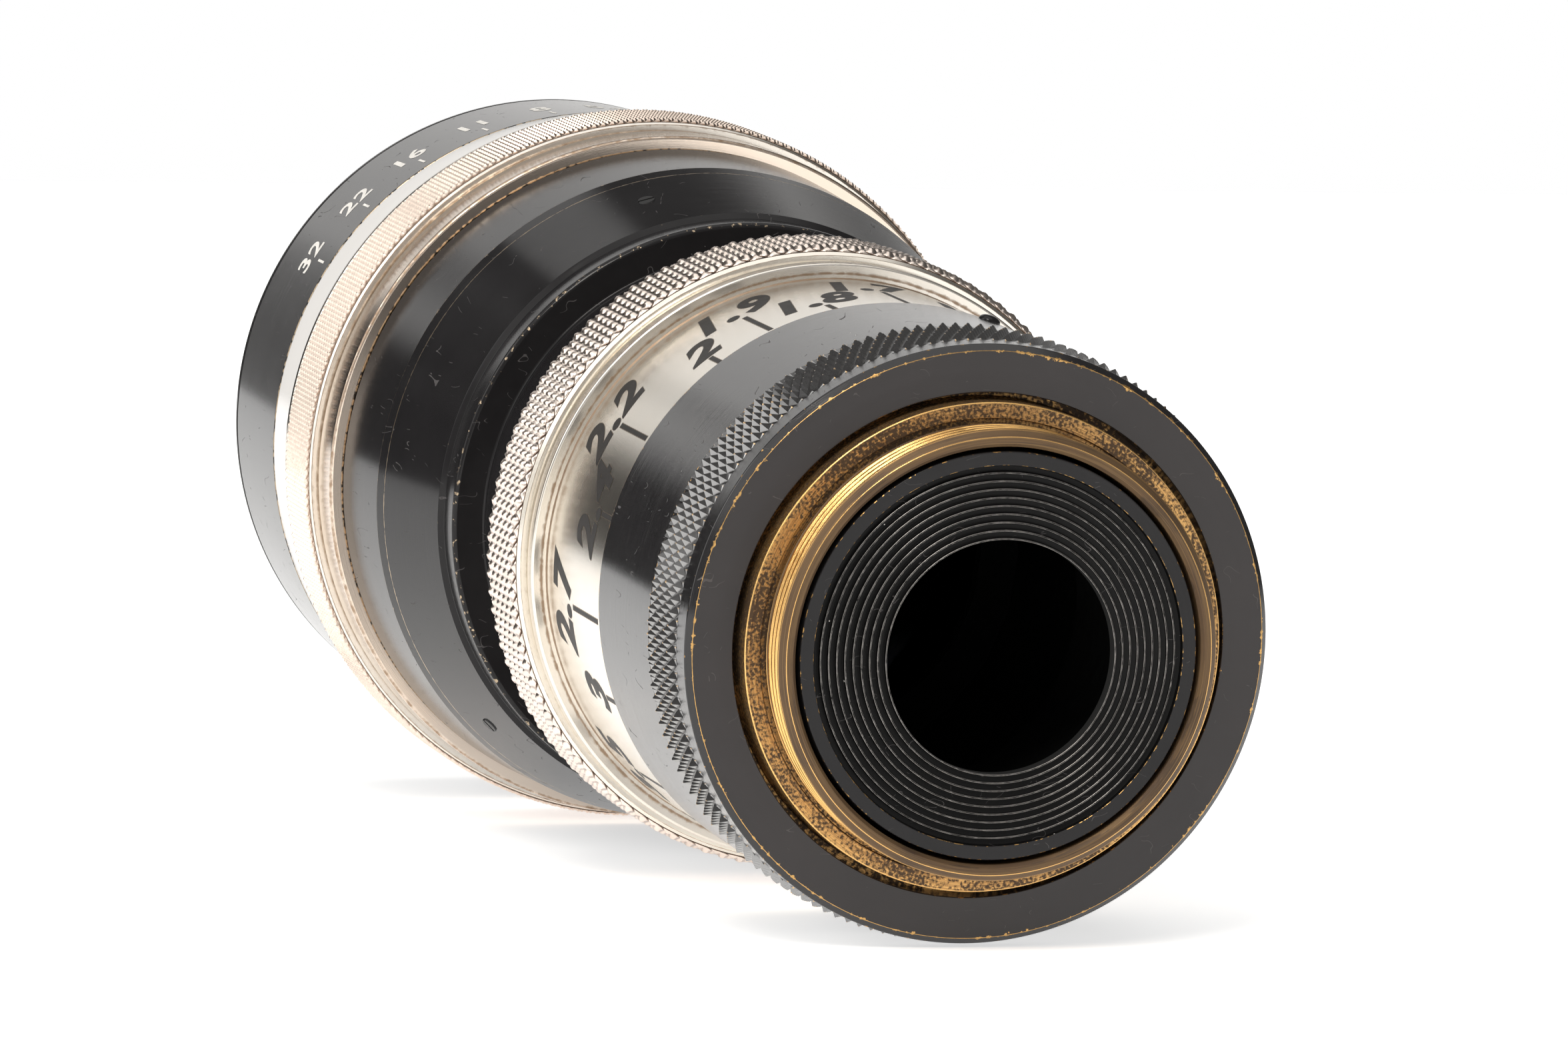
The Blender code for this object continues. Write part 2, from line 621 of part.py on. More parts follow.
def front_optics(body):
    """Front lens mount, its two glasses, spacer, retaining ring and the front bezel."""
    mount_rear = ARM_FRONT + 2 * GAP
    element_bore = LENS_MOUNT_RADIUS - LENS_LEDGE
    doublet_bore = element_bore - GAP - DOUBLET_LEDGE
    doublet_radius = doublet_bore - GAP
    doublet_rear = mount_rear + LENS_LIP + GAP
    spacer_rear = doublet_rear + FRONT_DOUBLET_EDGE + GAP
    dome = dish_height(doublet_radius, FRONT_DOUBLET_CURVE)
    spacer_front = spacer_rear + dome + FRONT_AIR_SPACE
    element_rear = spacer_front + GAP
    element_rim = element_rear + FRONT_ELEMENT_EDGE
    mount_front = BEZEL_REAR - BEZEL_LENGTH - GAP
    outline = [
        (doublet_bore - LENS_LEDGE, mount_rear),
        (LENS_MOUNT_RADIUS, mount_rear),
        (LENS_MOUNT_RADIUS, mount_front),
        (element_bore, mount_front),
        (element_bore, element_rear - GAP),
        (doublet_bore, element_rear - GAP),
        (doublet_bore, mount_rear + LENS_LIP),
        (doublet_bore - LENS_LEDGE, mount_rear + LENS_LIP),
    ]
    turned("front_lens_mount", outline, "black_satin", body, INNER_SEGMENTS)

    outline = [(0, doublet_rear), (doublet_radius, doublet_rear)]
    outline += dish(doublet_radius, FRONT_DOUBLET_CURVE, doublet_rear + FRONT_DOUBLET_EDGE, True)
    turned("front_doublet", outline, "glass", body, INNER_SEGMENTS)
    bore = doublet_radius - FRONT_SPACER_WALL
    slope = dome - dish_height(bore, FRONT_DOUBLET_CURVE)
    outline = [
        (bore, spacer_rear + slope),
        (doublet_radius, spacer_rear),
        (doublet_radius, spacer_front),
        (bore, spacer_front),
    ]
    turned("front_spacer", outline, "black_satin", body, INNER_SEGMENTS)

    radius = element_bore - GAP
    outline = [(0, element_rear), (radius, element_rear)]
    outline += dish(radius, FRONT_ELEMENT_CURVE, element_rim, True)
    turned("front_element", outline, "glass", body, INNER_SEGMENTS)
    clear_radius = radius - RETAINER_WIDTH
    slope = dish_height(radius, FRONT_ELEMENT_CURVE) - dish_height(clear_radius, FRONT_ELEMENT_CURVE)
    retainer_front = element_rim + GAP + RETAINER_LENGTH
    outline = [
        (clear_radius, element_rim + slope + GAP),
        (radius, element_rim + GAP),
        (radius, retainer_front),
        (clear_radius, retainer_front),
    ]
    turned("front_retainer", outline, "black_satin", body, INNER_SEGMENTS)

    outline = [
        (element_bore - GAP, BEZEL_REAR - BEZEL_LENGTH),
        (LENS_MOUNT_RADIUS, BEZEL_REAR - BEZEL_LENGTH),
        (LENS_MOUNT_RADIUS, BEZEL_REAR),
        (BEZEL_RADIUS, BEZEL_REAR),
        (BEZEL_RADIUS, LENS_FRONT),
        (LENS_MOUNT_RADIUS - BEZEL_LIP, LENS_FRONT),
        (LENS_MOUNT_RADIUS - BEZEL_LIP, LENS_FRONT - BEZEL_MOUTH),
        (element_bore - GAP, BEZEL_REAR - BEZEL_LENGTH + BEZEL_STEP),
    ]
    turned("front_bezel", outline, "black_lacquer", body)


def rear_optics(body):
    """Rear lens cell inside the sliding tube, with its two glasses, spacer and retaining ring."""
    cell_front = CHAMBER_REAR - REAR_CELL_INSET
    cell_rear = cell_front - REAR_CELL_LENGTH
    radius = HEAD_TUBE_BORE - GAP
    bore = radius - CELL_WALL
    lip = bore - RETAINER_WIDTH
    outline = [
        (lip, cell_rear),
        (radius, cell_rear),
        (radius, cell_front),
        (bore, cell_front),
        (bore, cell_rear + LENS_LIP),
        (lip, cell_rear + LENS_LIP),
    ]
    turned("rear_cell", outline, "black_satin", body, INNER_SEGMENTS)
    glass = bore - GAP
    front = cell_rear + LENS_LIP + GAP + REAR_ELEMENT_LENGTH
    outline = [(0, front), (glass, front)]
    outline += dish(glass, REAR_ELEMENT_CURVE, front - REAR_ELEMENT_EDGE, False)
    turned("rear_element", outline, "glass", body, INNER_SEGMENTS)
    spacer_front = front + GAP + REAR_SPACER_LENGTH
    tube("rear_spacer", lip, glass, front + GAP, spacer_front, "black_satin", body, INNER_SEGMENTS)
    front = spacer_front + GAP + REAR_DOUBLET_LENGTH
    outline = [(0, front), (glass, front)]
    outline += dish(glass, REAR_DOUBLET_CURVE, front - REAR_DOUBLET_EDGE, False)
    turned("rear_doublet", outline, "glass", body, INNER_SEGMENTS)
    ring_rear = front + GAP
    ring_front = ring_rear + RETAINER_LENGTH
    tube("rear_retainer", lip, glass, ring_rear, ring_front, "black_satin", body, INNER_SEGMENTS)


def iris(head, control):
    """Pivot plate, cam ring and the blades, each blade in its own layer and on its own pivot."""
    bore = BLADE_OPEN_RADIUS + IRIS_BORE_STANDS
    plate = tube(
        "iris_plate",
        bore,
        IRIS_RADIUS,
        IRIS_PLATE_REAR,
        IRIS_PLATE_REAR + IRIS_PLATE,
        "black_satin",
        head,
    )
    angles = [360 * number / BLADES for number in range(BLADES)]
    through = [
        axial_frame(angle, BLADE_PIVOT_RADIUS, IRIS_PLATE_REAR + IRIS_PLATE / 2) for angle in angles
    ]
    holes = rods("pivot_holes", through, PIVOT_PIN_RADIUS + GAP, 2 * IRIS_PLATE, None, head, sides=8)
    combine(plate, holes, "DIFFERENCE")
    tube("iris_cam_ring", bore, IRIS_CAM_RADIUS, IRIS_CAM_REAR, IRIS_CAM_FRONT, "brass", control)
    for number, angle in enumerate(angles):
        iris_blade(number, angle, head)


def iris_blade(number, angle, head):
    """One crescent blade with its pivot pin, modelled about its pivot and then placed."""
    rear = BLADES_REAR + number * BLADE_PITCH
    inner = BLADE_OPEN_RADIUS
    outer = BLADE_OPEN_RADIUS + BLADE_WIDTH
    pivot = empty_at(f"blade_pivot_{number + 1:02d}", angle, head)
    spread = [math.radians(BLADE_SPAN * step / BLADE_STEPS) for step in range(BLADE_STEPS + 1)]
    arc = [(outer * math.cos(turn), outer * math.sin(turn)) for turn in spread]
    arc += [(inner * math.cos(turn), inner * math.sin(turn)) for turn in reversed(spread)]
    lead = -math.asin(BLADE_EAR / BLADE_PIVOT_RADIUS)
    root = math.asin(BLADE_EAR / outer)
    ear = [(BLADE_PIVOT_RADIUS * math.cos(lead), BLADE_PIVOT_RADIUS * math.sin(lead))]
    ear += [
        (BLADE_PIVOT_RADIUS + BLADE_EAR * math.cos(turn), BLADE_EAR * math.sin(turn))
        for turn in (math.radians(step) for step in EAR_ANGLES)
    ]
    ear += [(BLADE_PIVOT_RADIUS, BLADE_EAR)]
    outline = ear + [(outer * math.cos(root), outer * math.sin(root))] + arc[1:]
    outline += [(inner * math.cos(lead), inner * math.sin(lead))]
    bm = bmesh.new()
    corners = [bm.verts.new(((x - BLADE_PIVOT_RADIUS) * MM, -rear * MM, z * MM)) for x, z in outline]
    face = bm.faces.new(corners)
    grown = bmesh.ops.extrude_face_region(bm, geom=[face])
    raised = [item for item in grown["geom"] if isinstance(item, bmesh.types.BMVert)]
    bmesh.ops.translate(bm, verts=raised, vec=(0, -BLADE_THICKNESS * MM, 0))
    blade = add_object(f"iris_blade_{number + 1:02d}", bm, "steel", pivot)
    pin_rear = IRIS_PLATE_REAR + GAP
    pin_front = rear + BLADE_THICKNESS / 2
    centre = axial_frame(0, 0, (pin_rear + pin_front) / 2)
    pin = rods(
        f"blade_pin_{number + 1:02d}",
        [centre],
        PIVOT_PIN_RADIUS,
        pin_front - pin_rear,
        None,
        pivot,
        sides=8,
    )
    combine(blade, pin, "UNION")


def empty_at(name, angle, parent):
    """An empty on a blade's pivot, turned to the blade's place around the axis."""
    empty = add_body(name, parent)
    turn = math.radians(angle)
    radius = BLADE_PIVOT_RADIUS * MM
    empty.location = (radius * math.cos(turn), 0, radius * math.sin(turn))
    empty.rotation_euler = (0, -turn, 0)
    return empty


def aperture_control(body):
    """Knurled aperture ring, bevel ring, stop scale ring and the drive to the iris cam."""
    outline = [
        (APERTURE_BORE, APERTURE_REAR),
        (APERTURE_RADIUS - SMALL_EDGE, APERTURE_REAR),
        (APERTURE_RADIUS, APERTURE_REAR + SMALL_EDGE),
        (APERTURE_RADIUS, APERTURE_FRONT - SMALL_EDGE),
        (APERTURE_RADIUS - SMALL_EDGE, APERTURE_FRONT),
        (APERTURE_BORE, APERTURE_FRONT),
    ]
    ring = turned("aperture_ring", outline, "nickel", body)
    outline = [
        (APERTURE_BORE, BEVEL_REAR),
        (BEVEL_RADIUS, BEVEL_REAR),
        (STOPS_RADIUS, BEVEL_FRONT),
        (APERTURE_BORE, BEVEL_FRONT),
    ]
    turned("bevel_ring", outline, "nickel", body)
    outline = [
        (APERTURE_BORE, STOPS_REAR),
        (STOPS_RADIUS, STOPS_REAR),
        (BEZEL_RADIUS, STOPS_FRONT),
        (APERTURE_BORE, STOPS_FRONT),
    ]
    turned("aperture_scale_ring", outline, "black_lacquer", body)

    middle = radial_frame(DRIVE_ANGLE, (ARM_BORE + APERTURE_RADIUS) / 2, DRIVE_STATION)
    reach = APERTURE_RADIUS - ARM_BORE
    hole = rods("drive_hole", [middle], DRIVE_SCREW_RADIUS + GAP, reach + 4 * CLEAR, None, body)
    combine(ring, hole, "DIFFERENCE")
    arm = sector(
        "iris_drive_arm",
        ARM_BORE,
        ARM_RADIUS,
        IRIS_CAM_FRONT + GAP,
        ARM_FRONT,
        DRIVE_ANGLE - ARM_SPREAD,
        DRIVE_ANGLE + ARM_SPREAD,
        "brass",
        body,
    )
    combine(arm, hole, "DIFFERENCE")
    rods("drive_screw", [middle], DRIVE_SCREW_RADIUS, reach - 2 * GAP, "steel", body)


def build():
    """Clears the scene and makes every piece under the empty of its moving body."""
    for obj in list(bpy.data.objects):
        bpy.data.objects.remove(obj)
    root = add_body("mount_body")
    focus = add_body("focus_body", root)
    sleeve = add_body("rangefinder_body", root)
    head = add_body("head_body", root)
    control = add_body("aperture_body", head)
    key_rear = camera_mount(root)
    focusing_mount(focus)
    rangefinder_sleeve(sleeve)
    head_barrel(head, key_rear)
    front_optics(head)
    rear_optics(head)
    iris(head, control)
    aperture_control(control)


build()
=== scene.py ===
"""Finished look of a long portrait lens in black lacquer and nickel on a brass camera thread.

Each sub-assembly of the lens is a class. It holds its sizes in millimetres as dataclass fields, builds its
pieces, dresses them and hands them to the moving body that carries them. Stations are distances along the
optical axis in front of the camera seat, and angles turn about the axis from +X towards +Z.
"""

import logging
import math
from dataclasses import dataclass, field
from enum import Enum

import bmesh
import bpy
from mathutils import Matrix, Vector


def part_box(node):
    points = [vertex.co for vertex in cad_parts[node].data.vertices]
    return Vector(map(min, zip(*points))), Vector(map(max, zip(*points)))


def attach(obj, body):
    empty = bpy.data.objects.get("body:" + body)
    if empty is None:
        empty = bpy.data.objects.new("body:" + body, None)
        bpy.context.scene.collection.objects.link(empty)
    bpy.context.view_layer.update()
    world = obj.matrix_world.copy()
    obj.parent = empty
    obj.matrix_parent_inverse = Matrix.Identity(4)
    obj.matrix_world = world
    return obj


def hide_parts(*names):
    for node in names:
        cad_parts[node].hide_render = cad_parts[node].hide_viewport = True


Socket, Material, Mesh, Object = bpy.types.NodeSocket, bpy.types.Material, bpy.types.Mesh, bpy.types.Object
Value = Socket | float | tuple[float, ...]  # what a node's input takes

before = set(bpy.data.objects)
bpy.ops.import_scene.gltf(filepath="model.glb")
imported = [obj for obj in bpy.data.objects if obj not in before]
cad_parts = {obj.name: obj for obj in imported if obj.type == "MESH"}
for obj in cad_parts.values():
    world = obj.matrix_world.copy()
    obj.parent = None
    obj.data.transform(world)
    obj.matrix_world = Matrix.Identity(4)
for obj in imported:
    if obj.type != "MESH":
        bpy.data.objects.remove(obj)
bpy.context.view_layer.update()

MM = 0.001
ROUND = 256  # faces around a turned piece
WEAR = "wear"  # attribute: how bare an edge or crest is, 0 to 1; on a knurl the cell's height, and some finishes paint shade where it is low
TONE = "tone"  # attribute: a shade that differs from cell to cell
TONE_SEED = 7
CAP = 0.7  # height of a capital, against the size of its letters
EASE_SHARE = 0.42  # most of a side that a rounded corner takes
FADE_SHARE = 0.46  # most of a side that a rounded corner and its fading wear take
STRIP = 0.45  # widest strip, in millimetres, that a figure is cut into before it is rolled
WHITE = (1.0, 1.0, 1.0, 1.0)

log = logging.getLogger("portrait_lens")


def put(name: str, data: bpy.types.ID) -> Object:
    """Adds an object to the scene, at the origin.

    Args:
        name: Name of the object.
        data: Its mesh, lamp or camera.

    Returns:
        The object.
    """
    piece = bpy.data.objects.new(name, data)
    bpy.context.scene.collection.objects.link(piece)
    return piece


# ---------------------------------------------------------------- nodes


class NodeMaker:
    """Adds nodes to one tree and links what it is given."""

    def __init__(self, tree: bpy.types.NodeTree) -> None:
        """Keeps the tree to add to."""
        self.tree = tree

    def add(
        self, kind: str, inputs: dict[str | int, Value] | None = None, **settings: object
    ) -> bpy.types.Node:
        """Adds one node.

        Args:
            kind: Blender's type name of the node.
            inputs: Values or output sockets, by input name or index.
            settings: Properties of the node.

        Returns:
            The node.
        """
        node = self.tree.nodes.new(kind)
        for key, value in settings.items():
            setattr(node, key, value)
        for key, value in (inputs or {}).items():
            if isinstance(value, Socket):
                self.tree.links.new(value, node.inputs[key])
            else:
                node.inputs[key].default_value = value
        return node

    def math(self, operation: str, *values: Value, clamp: bool = False) -> Socket:
        """Adds a Math node.

        Args:
            operation: Blender's name of the operation.
            values: Up to three values or sockets.
            clamp: Whether the result is held between 0 and 1.

        Returns:
            The node's output.
        """
        node = self.add("ShaderNodeMath", dict(enumerate(values)), operation=operation)
        node.use_clamp = clamp
        return node.outputs[0]

    def times(self, first: Value, second: Value) -> Socket:
        """Returns the product of two values or sockets."""
        return self.math("MULTIPLY", first, second)

    def plus(self, first: Value, second: Value) -> Socket:
        """Returns the sum of two values or sockets."""
        return self.math("ADD", first, second)

    def minus(self, first: Value, second: Value, clamp: bool = False) -> Socket:
        """Returns the first value or socket less the second."""
        return self.math("SUBTRACT", first, second, clamp=clamp)

    def over(self, first: Value, second: Value) -> Socket:
        """Returns the first value or socket divided by the second."""
        return self.math("DIVIDE", first, second)

    def size(self, value: Value) -> Socket:
        """Returns a value without its sign."""
        return self.math("ABSOLUTE", value)

    def vector(self, operation: str, *values: Value) -> Socket:
        """Adds a Vector Math node and returns its vector output."""
        return self.add("ShaderNodeVectorMath", dict(enumerate(values)), operation=operation).outputs[0]

    def length(self, vector: Value) -> Socket:
        """Returns the length of a vector."""
        return self.add("ShaderNodeVectorMath", {0: vector}, operation="LENGTH").outputs["Value"]

    def combine(self, x: Value, y: Value, z: Value) -> Socket:
        """Returns a vector made of three values or sockets."""
        return self.add("ShaderNodeCombineXYZ", {0: x, 1: y, 2: z}).outputs[0]

    def separate(self, vector: Socket) -> list[Socket]:
        """Returns the three parts of a vector."""
        return list(self.add("ShaderNodeSeparateXYZ", {0: vector}).outputs)

    def spread(
        self, value: Value, low: float, high: float, to_low: float = 0.0, to_high: float = 1.0
    ) -> Socket:
        """Moves a value smoothly from one range to another.

        Args:
            value: The value or socket.
            low: Start of its range.
            high: End of its range.
            to_low: What the start becomes.
            to_high: What the end becomes.

        Returns:
            The moved value, held at the ends.
        """
        node = self.add(
            "ShaderNodeMapRange",
            {"Value": value, "From Min": low, "From Max": high, "To Min": to_low, "To Max": to_high},
            interpolation_type="SMOOTHSTEP",
        )
        return node.outputs[0]


class Recipe(NodeMaker):
    """A Geometry Nodes tree with named inputs, and the means to make a finished mesh with it."""

    def __init__(self, name: str, sizes: dict[str, float], counts: dict[str, int] | None = None) -> None:
        """Makes the tree's inputs.

        Args:
            name: Name of the tree.
            sizes: Default of each size, by input name.
            counts: Default of each whole number, by input name.
        """
        super().__init__(bpy.data.node_groups.new(name, "GeometryNodeTree"))
        face = self.tree.interface
        face.new_socket("Geometry", in_out="OUTPUT", socket_type="NodeSocketGeometry")
        face.new_socket("Geometry", in_out="INPUT", socket_type="NodeSocketGeometry")
        for label, value in sizes.items():
            face.new_socket(label, in_out="INPUT", socket_type="NodeSocketFloat").default_value = value
        for label, value in (counts or {}).items():
            face.new_socket(label, in_out="INPUT", socket_type="NodeSocketInt").default_value = value
        face.new_socket("Finish", in_out="INPUT", socket_type="NodeSocketMaterial")
        self.given = self.add("NodeGroupInput").outputs

    def position(self) -> Socket:
        """Returns the position field."""
        return self.add("GeometryNodeInputPosition").outputs[0]

    def wrap(self, geometry: Socket, radius: Value, rise: Value = 0.0) -> Socket:
        """Rolls flat work round the lens's axis.

        Args:
            geometry: Work laid out flat in millimetres: x along the arc, y the station, z the height.
            radius: Radius on which the work lies at station 0.
            rise: Growth of the radius for each millimetre of station.

        Returns:
            The rolled geometry, in metres.
        """
        x, y, z = self.separate(self.position())
        turn = self.over(x, radius)
        reach = self.plus(self.plus(radius, z), self.times(y, rise))
        reach = self.times(reach, MM)
        place = self.combine(
            self.times(reach, self.math("COSINE", turn)),
            self.times(y, -MM),
            self.times(reach, self.math("SINE", turn)),
        )
        return self.placed(geometry, Position=place)

    def placed(self, geometry: Socket, **inputs: Value) -> Socket:
        """Returns geometry with its points moved, by Position or Offset."""
        return self.add("GeometryNodeSetPosition", {"Geometry": geometry, **inputs}).outputs[0]

    def moved(self, geometry: Socket, **inputs: Value) -> Socket:
        """Returns geometry moved as a whole, by Translation, Rotation or Scale."""
        return self.add("GeometryNodeTransform", {"Geometry": geometry, **inputs}).outputs[0]

    def stored(
        self, geometry: Socket, name: str, value: Value, domain: str, **inputs: Value
    ) -> Socket:
        """Stores a named value on geometry.

        Args:
            geometry: The geometry.
            name: Name of the value.
            value: The value.
            domain: What carries it: POINT or INSTANCE.
            inputs: Further inputs, such as Selection.

        Returns:
            The geometry with the value on it.
        """
        given = {"Geometry": geometry, "Name": name, "Value": value, **inputs}
        return self.add("GeometryNodeStoreNamedAttribute", given, data_type="FLOAT", domain=domain).outputs[0]

    def finish(self, geometry: Socket, smooth: bool) -> None:
        """Ends the tree: realises instances, sets the shading and the material.

        Args:
            geometry: What the tree has made.
            smooth: Whether its faces are shaded smooth.
        """
        real = self.add("GeometryNodeRealizeInstances", {"Geometry": geometry}).outputs[0]
        shaded = self.add("GeometryNodeSetShadeSmooth", {"Geometry": real, "Shade Smooth": smooth}).outputs[0]
        dressed = self.add("GeometryNodeSetMaterial", {"Geometry": shaded, "Material": self.given["Finish"]})
        self.add("NodeGroupOutput", {0: dressed.outputs[0]})

    def make(self, name: str, base: Mesh | None = None, **values: object) -> Object:
        """Runs the tree and keeps its result as a plain mesh.

        Args:
            name: Name of the new piece.
            base: Mesh that the tree starts from, or None where it makes its own.
            values: The tree's inputs, with underscores for spaces.

        Returns:
            The piece, with no modifier left on it.
        """
        piece = put(name, base or bpy.data.meshes.new(name))
        modifier = piece.modifiers.new(self.tree.name, "NODES")
        modifier.node_group = self.tree
        for socket in self.tree.interface.items_tree:
            key = socket.name.replace(" ", "_")
            if socket.in_out == "INPUT" and key in values:
                modifier[socket.identifier] = values[key]
        graph = bpy.context.evaluated_depsgraph_get()
        mesh = bpy.data.meshes.new_from_object(piece.evaluated_get(graph), depsgraph=graph)
        mesh.name = name
        piece.modifiers.clear()
        piece.data = mesh
        return piece


# ---------------------------------------------------------------- turned pieces


@dataclass(frozen=True)
class Corner:
    """One corner of a turned outline, in millimetres."""

    radius: float
    station: float
    ease: float = 0.12  # radius that the corner is rounded to
    wear: float = 0.0  # how far the finish has gone from the corner
    finish: int = 0  # which finish the face from here to the next corner has


def outline(*corners: tuple[float, ...]) -> list[Corner]:
    """Returns corners, each given as radius, station, ease, wear and number of its finish."""
    return [Corner(*corner) for corner in corners]


@dataclass
class RimPoint:
    """One point of an eased outline, with the outward directions on both sides of it."""

    radius: float
    station: float
    wear: float
    finish: int
    before: Vector
    after: Vector


def eased(corners: list[Corner], steps: int = 3, fade: float = 0.4) -> list[RimPoint]:
    """Rounds the corners of an outline.

    Args:
        corners: The closed outline, counter-clockwise with the radius to the right and the station upwards.
        steps: Faces in each rounded corner.
        fade: How far beyond a rounded corner its wear reaches.

    Returns:
        The outline's points with exact outward directions.
    """
    points: list[RimPoint] = []
    for number, corner in enumerate(corners):
        here = Vector((corner.radius, corner.station))
        last = corners[number - 1]
        back = Vector((last.radius, last.station)) - here
        after = corners[(number + 1) % len(corners)]
        ahead = Vector((after.radius, after.station)) - here
        into, out = -back.normalized(), ahead.normalized()
        out_before = Vector((into.y, -into.x))
        out_after = Vector((out.y, -out.x))
        turn = math.atan2(into.x * out.y - into.y * out.x, into.dot(out))
        room = EASE_SHARE * min(back.length, ahead.length)
        reach = min(abs(corner.ease * math.tan(turn / 2)), room)
        if corner.ease == 0 or abs(turn) < 0.02:
            points.append(RimPoint(*here, corner.wear, corner.finish, out_before, out_after))
            continue
        ease = reach / abs(math.tan(turn / 2))
        side = 1 if turn > 0 else -1
        start = here - into * reach
        sides = ((-into, back.length), (out, ahead.length))
        faded = [here + way * min(reach + fade, FADE_SHARE * side_length) for way, side_length in sides]
        points.append(RimPoint(*faded[0], 0.0, last.finish, out_before, out_before))
        centre = start - out_before * ease * side
        for step in range(steps + 1):
            angle = turn * step / steps
            spun = Matrix.Rotation(angle, 2) @ out_before
            place = centre + spun * ease * side
            worn = corner.wear * (1 - abs(2 * step / steps - 1) ** 2 * 0.6)
            points.append(RimPoint(*place, worn, corner.finish, spun, spun))
        points.append(RimPoint(*faded[1], 0.0, corner.finish, out_after, out_after))
    return points


def turned(
    name: str, corners: list[Corner], finishes: list[Material], around: int = ROUND
) -> Object:
    """Turns a closed outline about the optical axis.

    Args:
        name: Name of the piece.
        corners: The outline, counter-clockwise with the radius to the right and the station upwards.
        finishes: The materials that the corners number.
        around: Faces around the piece.

    Returns:
        The piece, with exact normals and its edge wear in an attribute.
    """
    rim = eased(corners)
    spokes = [2 * math.pi * step / around for step in range(around)]
    vertices: list[tuple[float, float, float]] = []
    rows: list[list[int]] = []
    wears: list[float] = []
    for point in rim:
        on_axis = point.radius < 1e-5
        row = [len(vertices)] * around if on_axis else list(range(len(vertices), len(vertices) + around))
        rows.append(row)
        for angle in spokes[: 1 if on_axis else around]:
            reach = point.radius * MM
            vertices.append((reach * math.cos(angle), -point.station * MM, reach * math.sin(angle)))
            wears.append(point.wear)
    faces, normals, indices = [], [], []
    for number, point in enumerate(rim):
        following = (number + 1) % len(rim)
        if rim[following].radius < 1e-5 and point.radius < 1e-5:
            continue
        sides = (point.after, rim[following].before)
        for step in range(around):
            nearby = (step + 1) % around
            ring = [
                (rows[number][step], spokes[step], sides[0]),
                (rows[number][nearby], spokes[nearby], sides[0]),
                (rows[following][nearby], spokes[nearby], sides[1]),
                (rows[following][step], spokes[step], sides[1]),
            ]
            if ring[0][0] == ring[1][0]:
                ring.pop(0)
            elif ring[2][0] == ring[3][0]:
                ring.pop(3)
            faces.append([corner[0] for corner in ring])
            indices.append(point.finish)
            for _, angle, side in ring:
                normals.append((side.x * math.cos(angle), -side.y, side.x * math.sin(angle)))
    mesh = bpy.data.meshes.new(name)
    mesh.from_pydata(vertices, [], faces)
    mesh.polygons.foreach_set("use_smooth", [True] * len(faces))
    mesh.polygons.foreach_set("material_index", indices)
    mesh.attributes.new(WEAR, "FLOAT", "POINT").data.foreach_set("value", wears)
    mesh.normals_split_custom_set(normals)
    for finish in finishes:
        mesh.materials.append(finish)
    return put(name, mesh)


def dome(radius: float, curve: float, station: float, rise: int, points: int = 14) -> list[Corner]:
    """Draws a glass's curved face.

    Args:
        radius: Radius of the glass.
        curve: Radius of the sphere that the face is cut from.
        station: Where the rim is.
        rise: 1 where the face bulges to the front, -1 to the rear.
        points: Corners from the rim to the axis.

    Returns:
        The corners, from the rim to the axis.
    """
    edge = math.sqrt(curve**2 - radius**2)
    reaches = [radius * (1 - step / points) for step in range(points + 1)]
    return [Corner(r, station + rise * (math.sqrt(curve**2 - r**2) - edge), 0) for r in reaches]


# ---------------------------------------------------------------- what repeats


class KnurlShape(Enum):
    """How the cells of a knurl are cut: the power that their sides fall away by, and the shading."""

    PYRAMID = (1.0, False)
    BEAD = (2.2, True)

    @property
    def power(self) -> float:
        """Power of the fall from the crest to the groove."""
        return self.value[0]

    @property
    def smooth(self) -> bool:
        """Whether a cell is rounded."""
        return self.value[1]


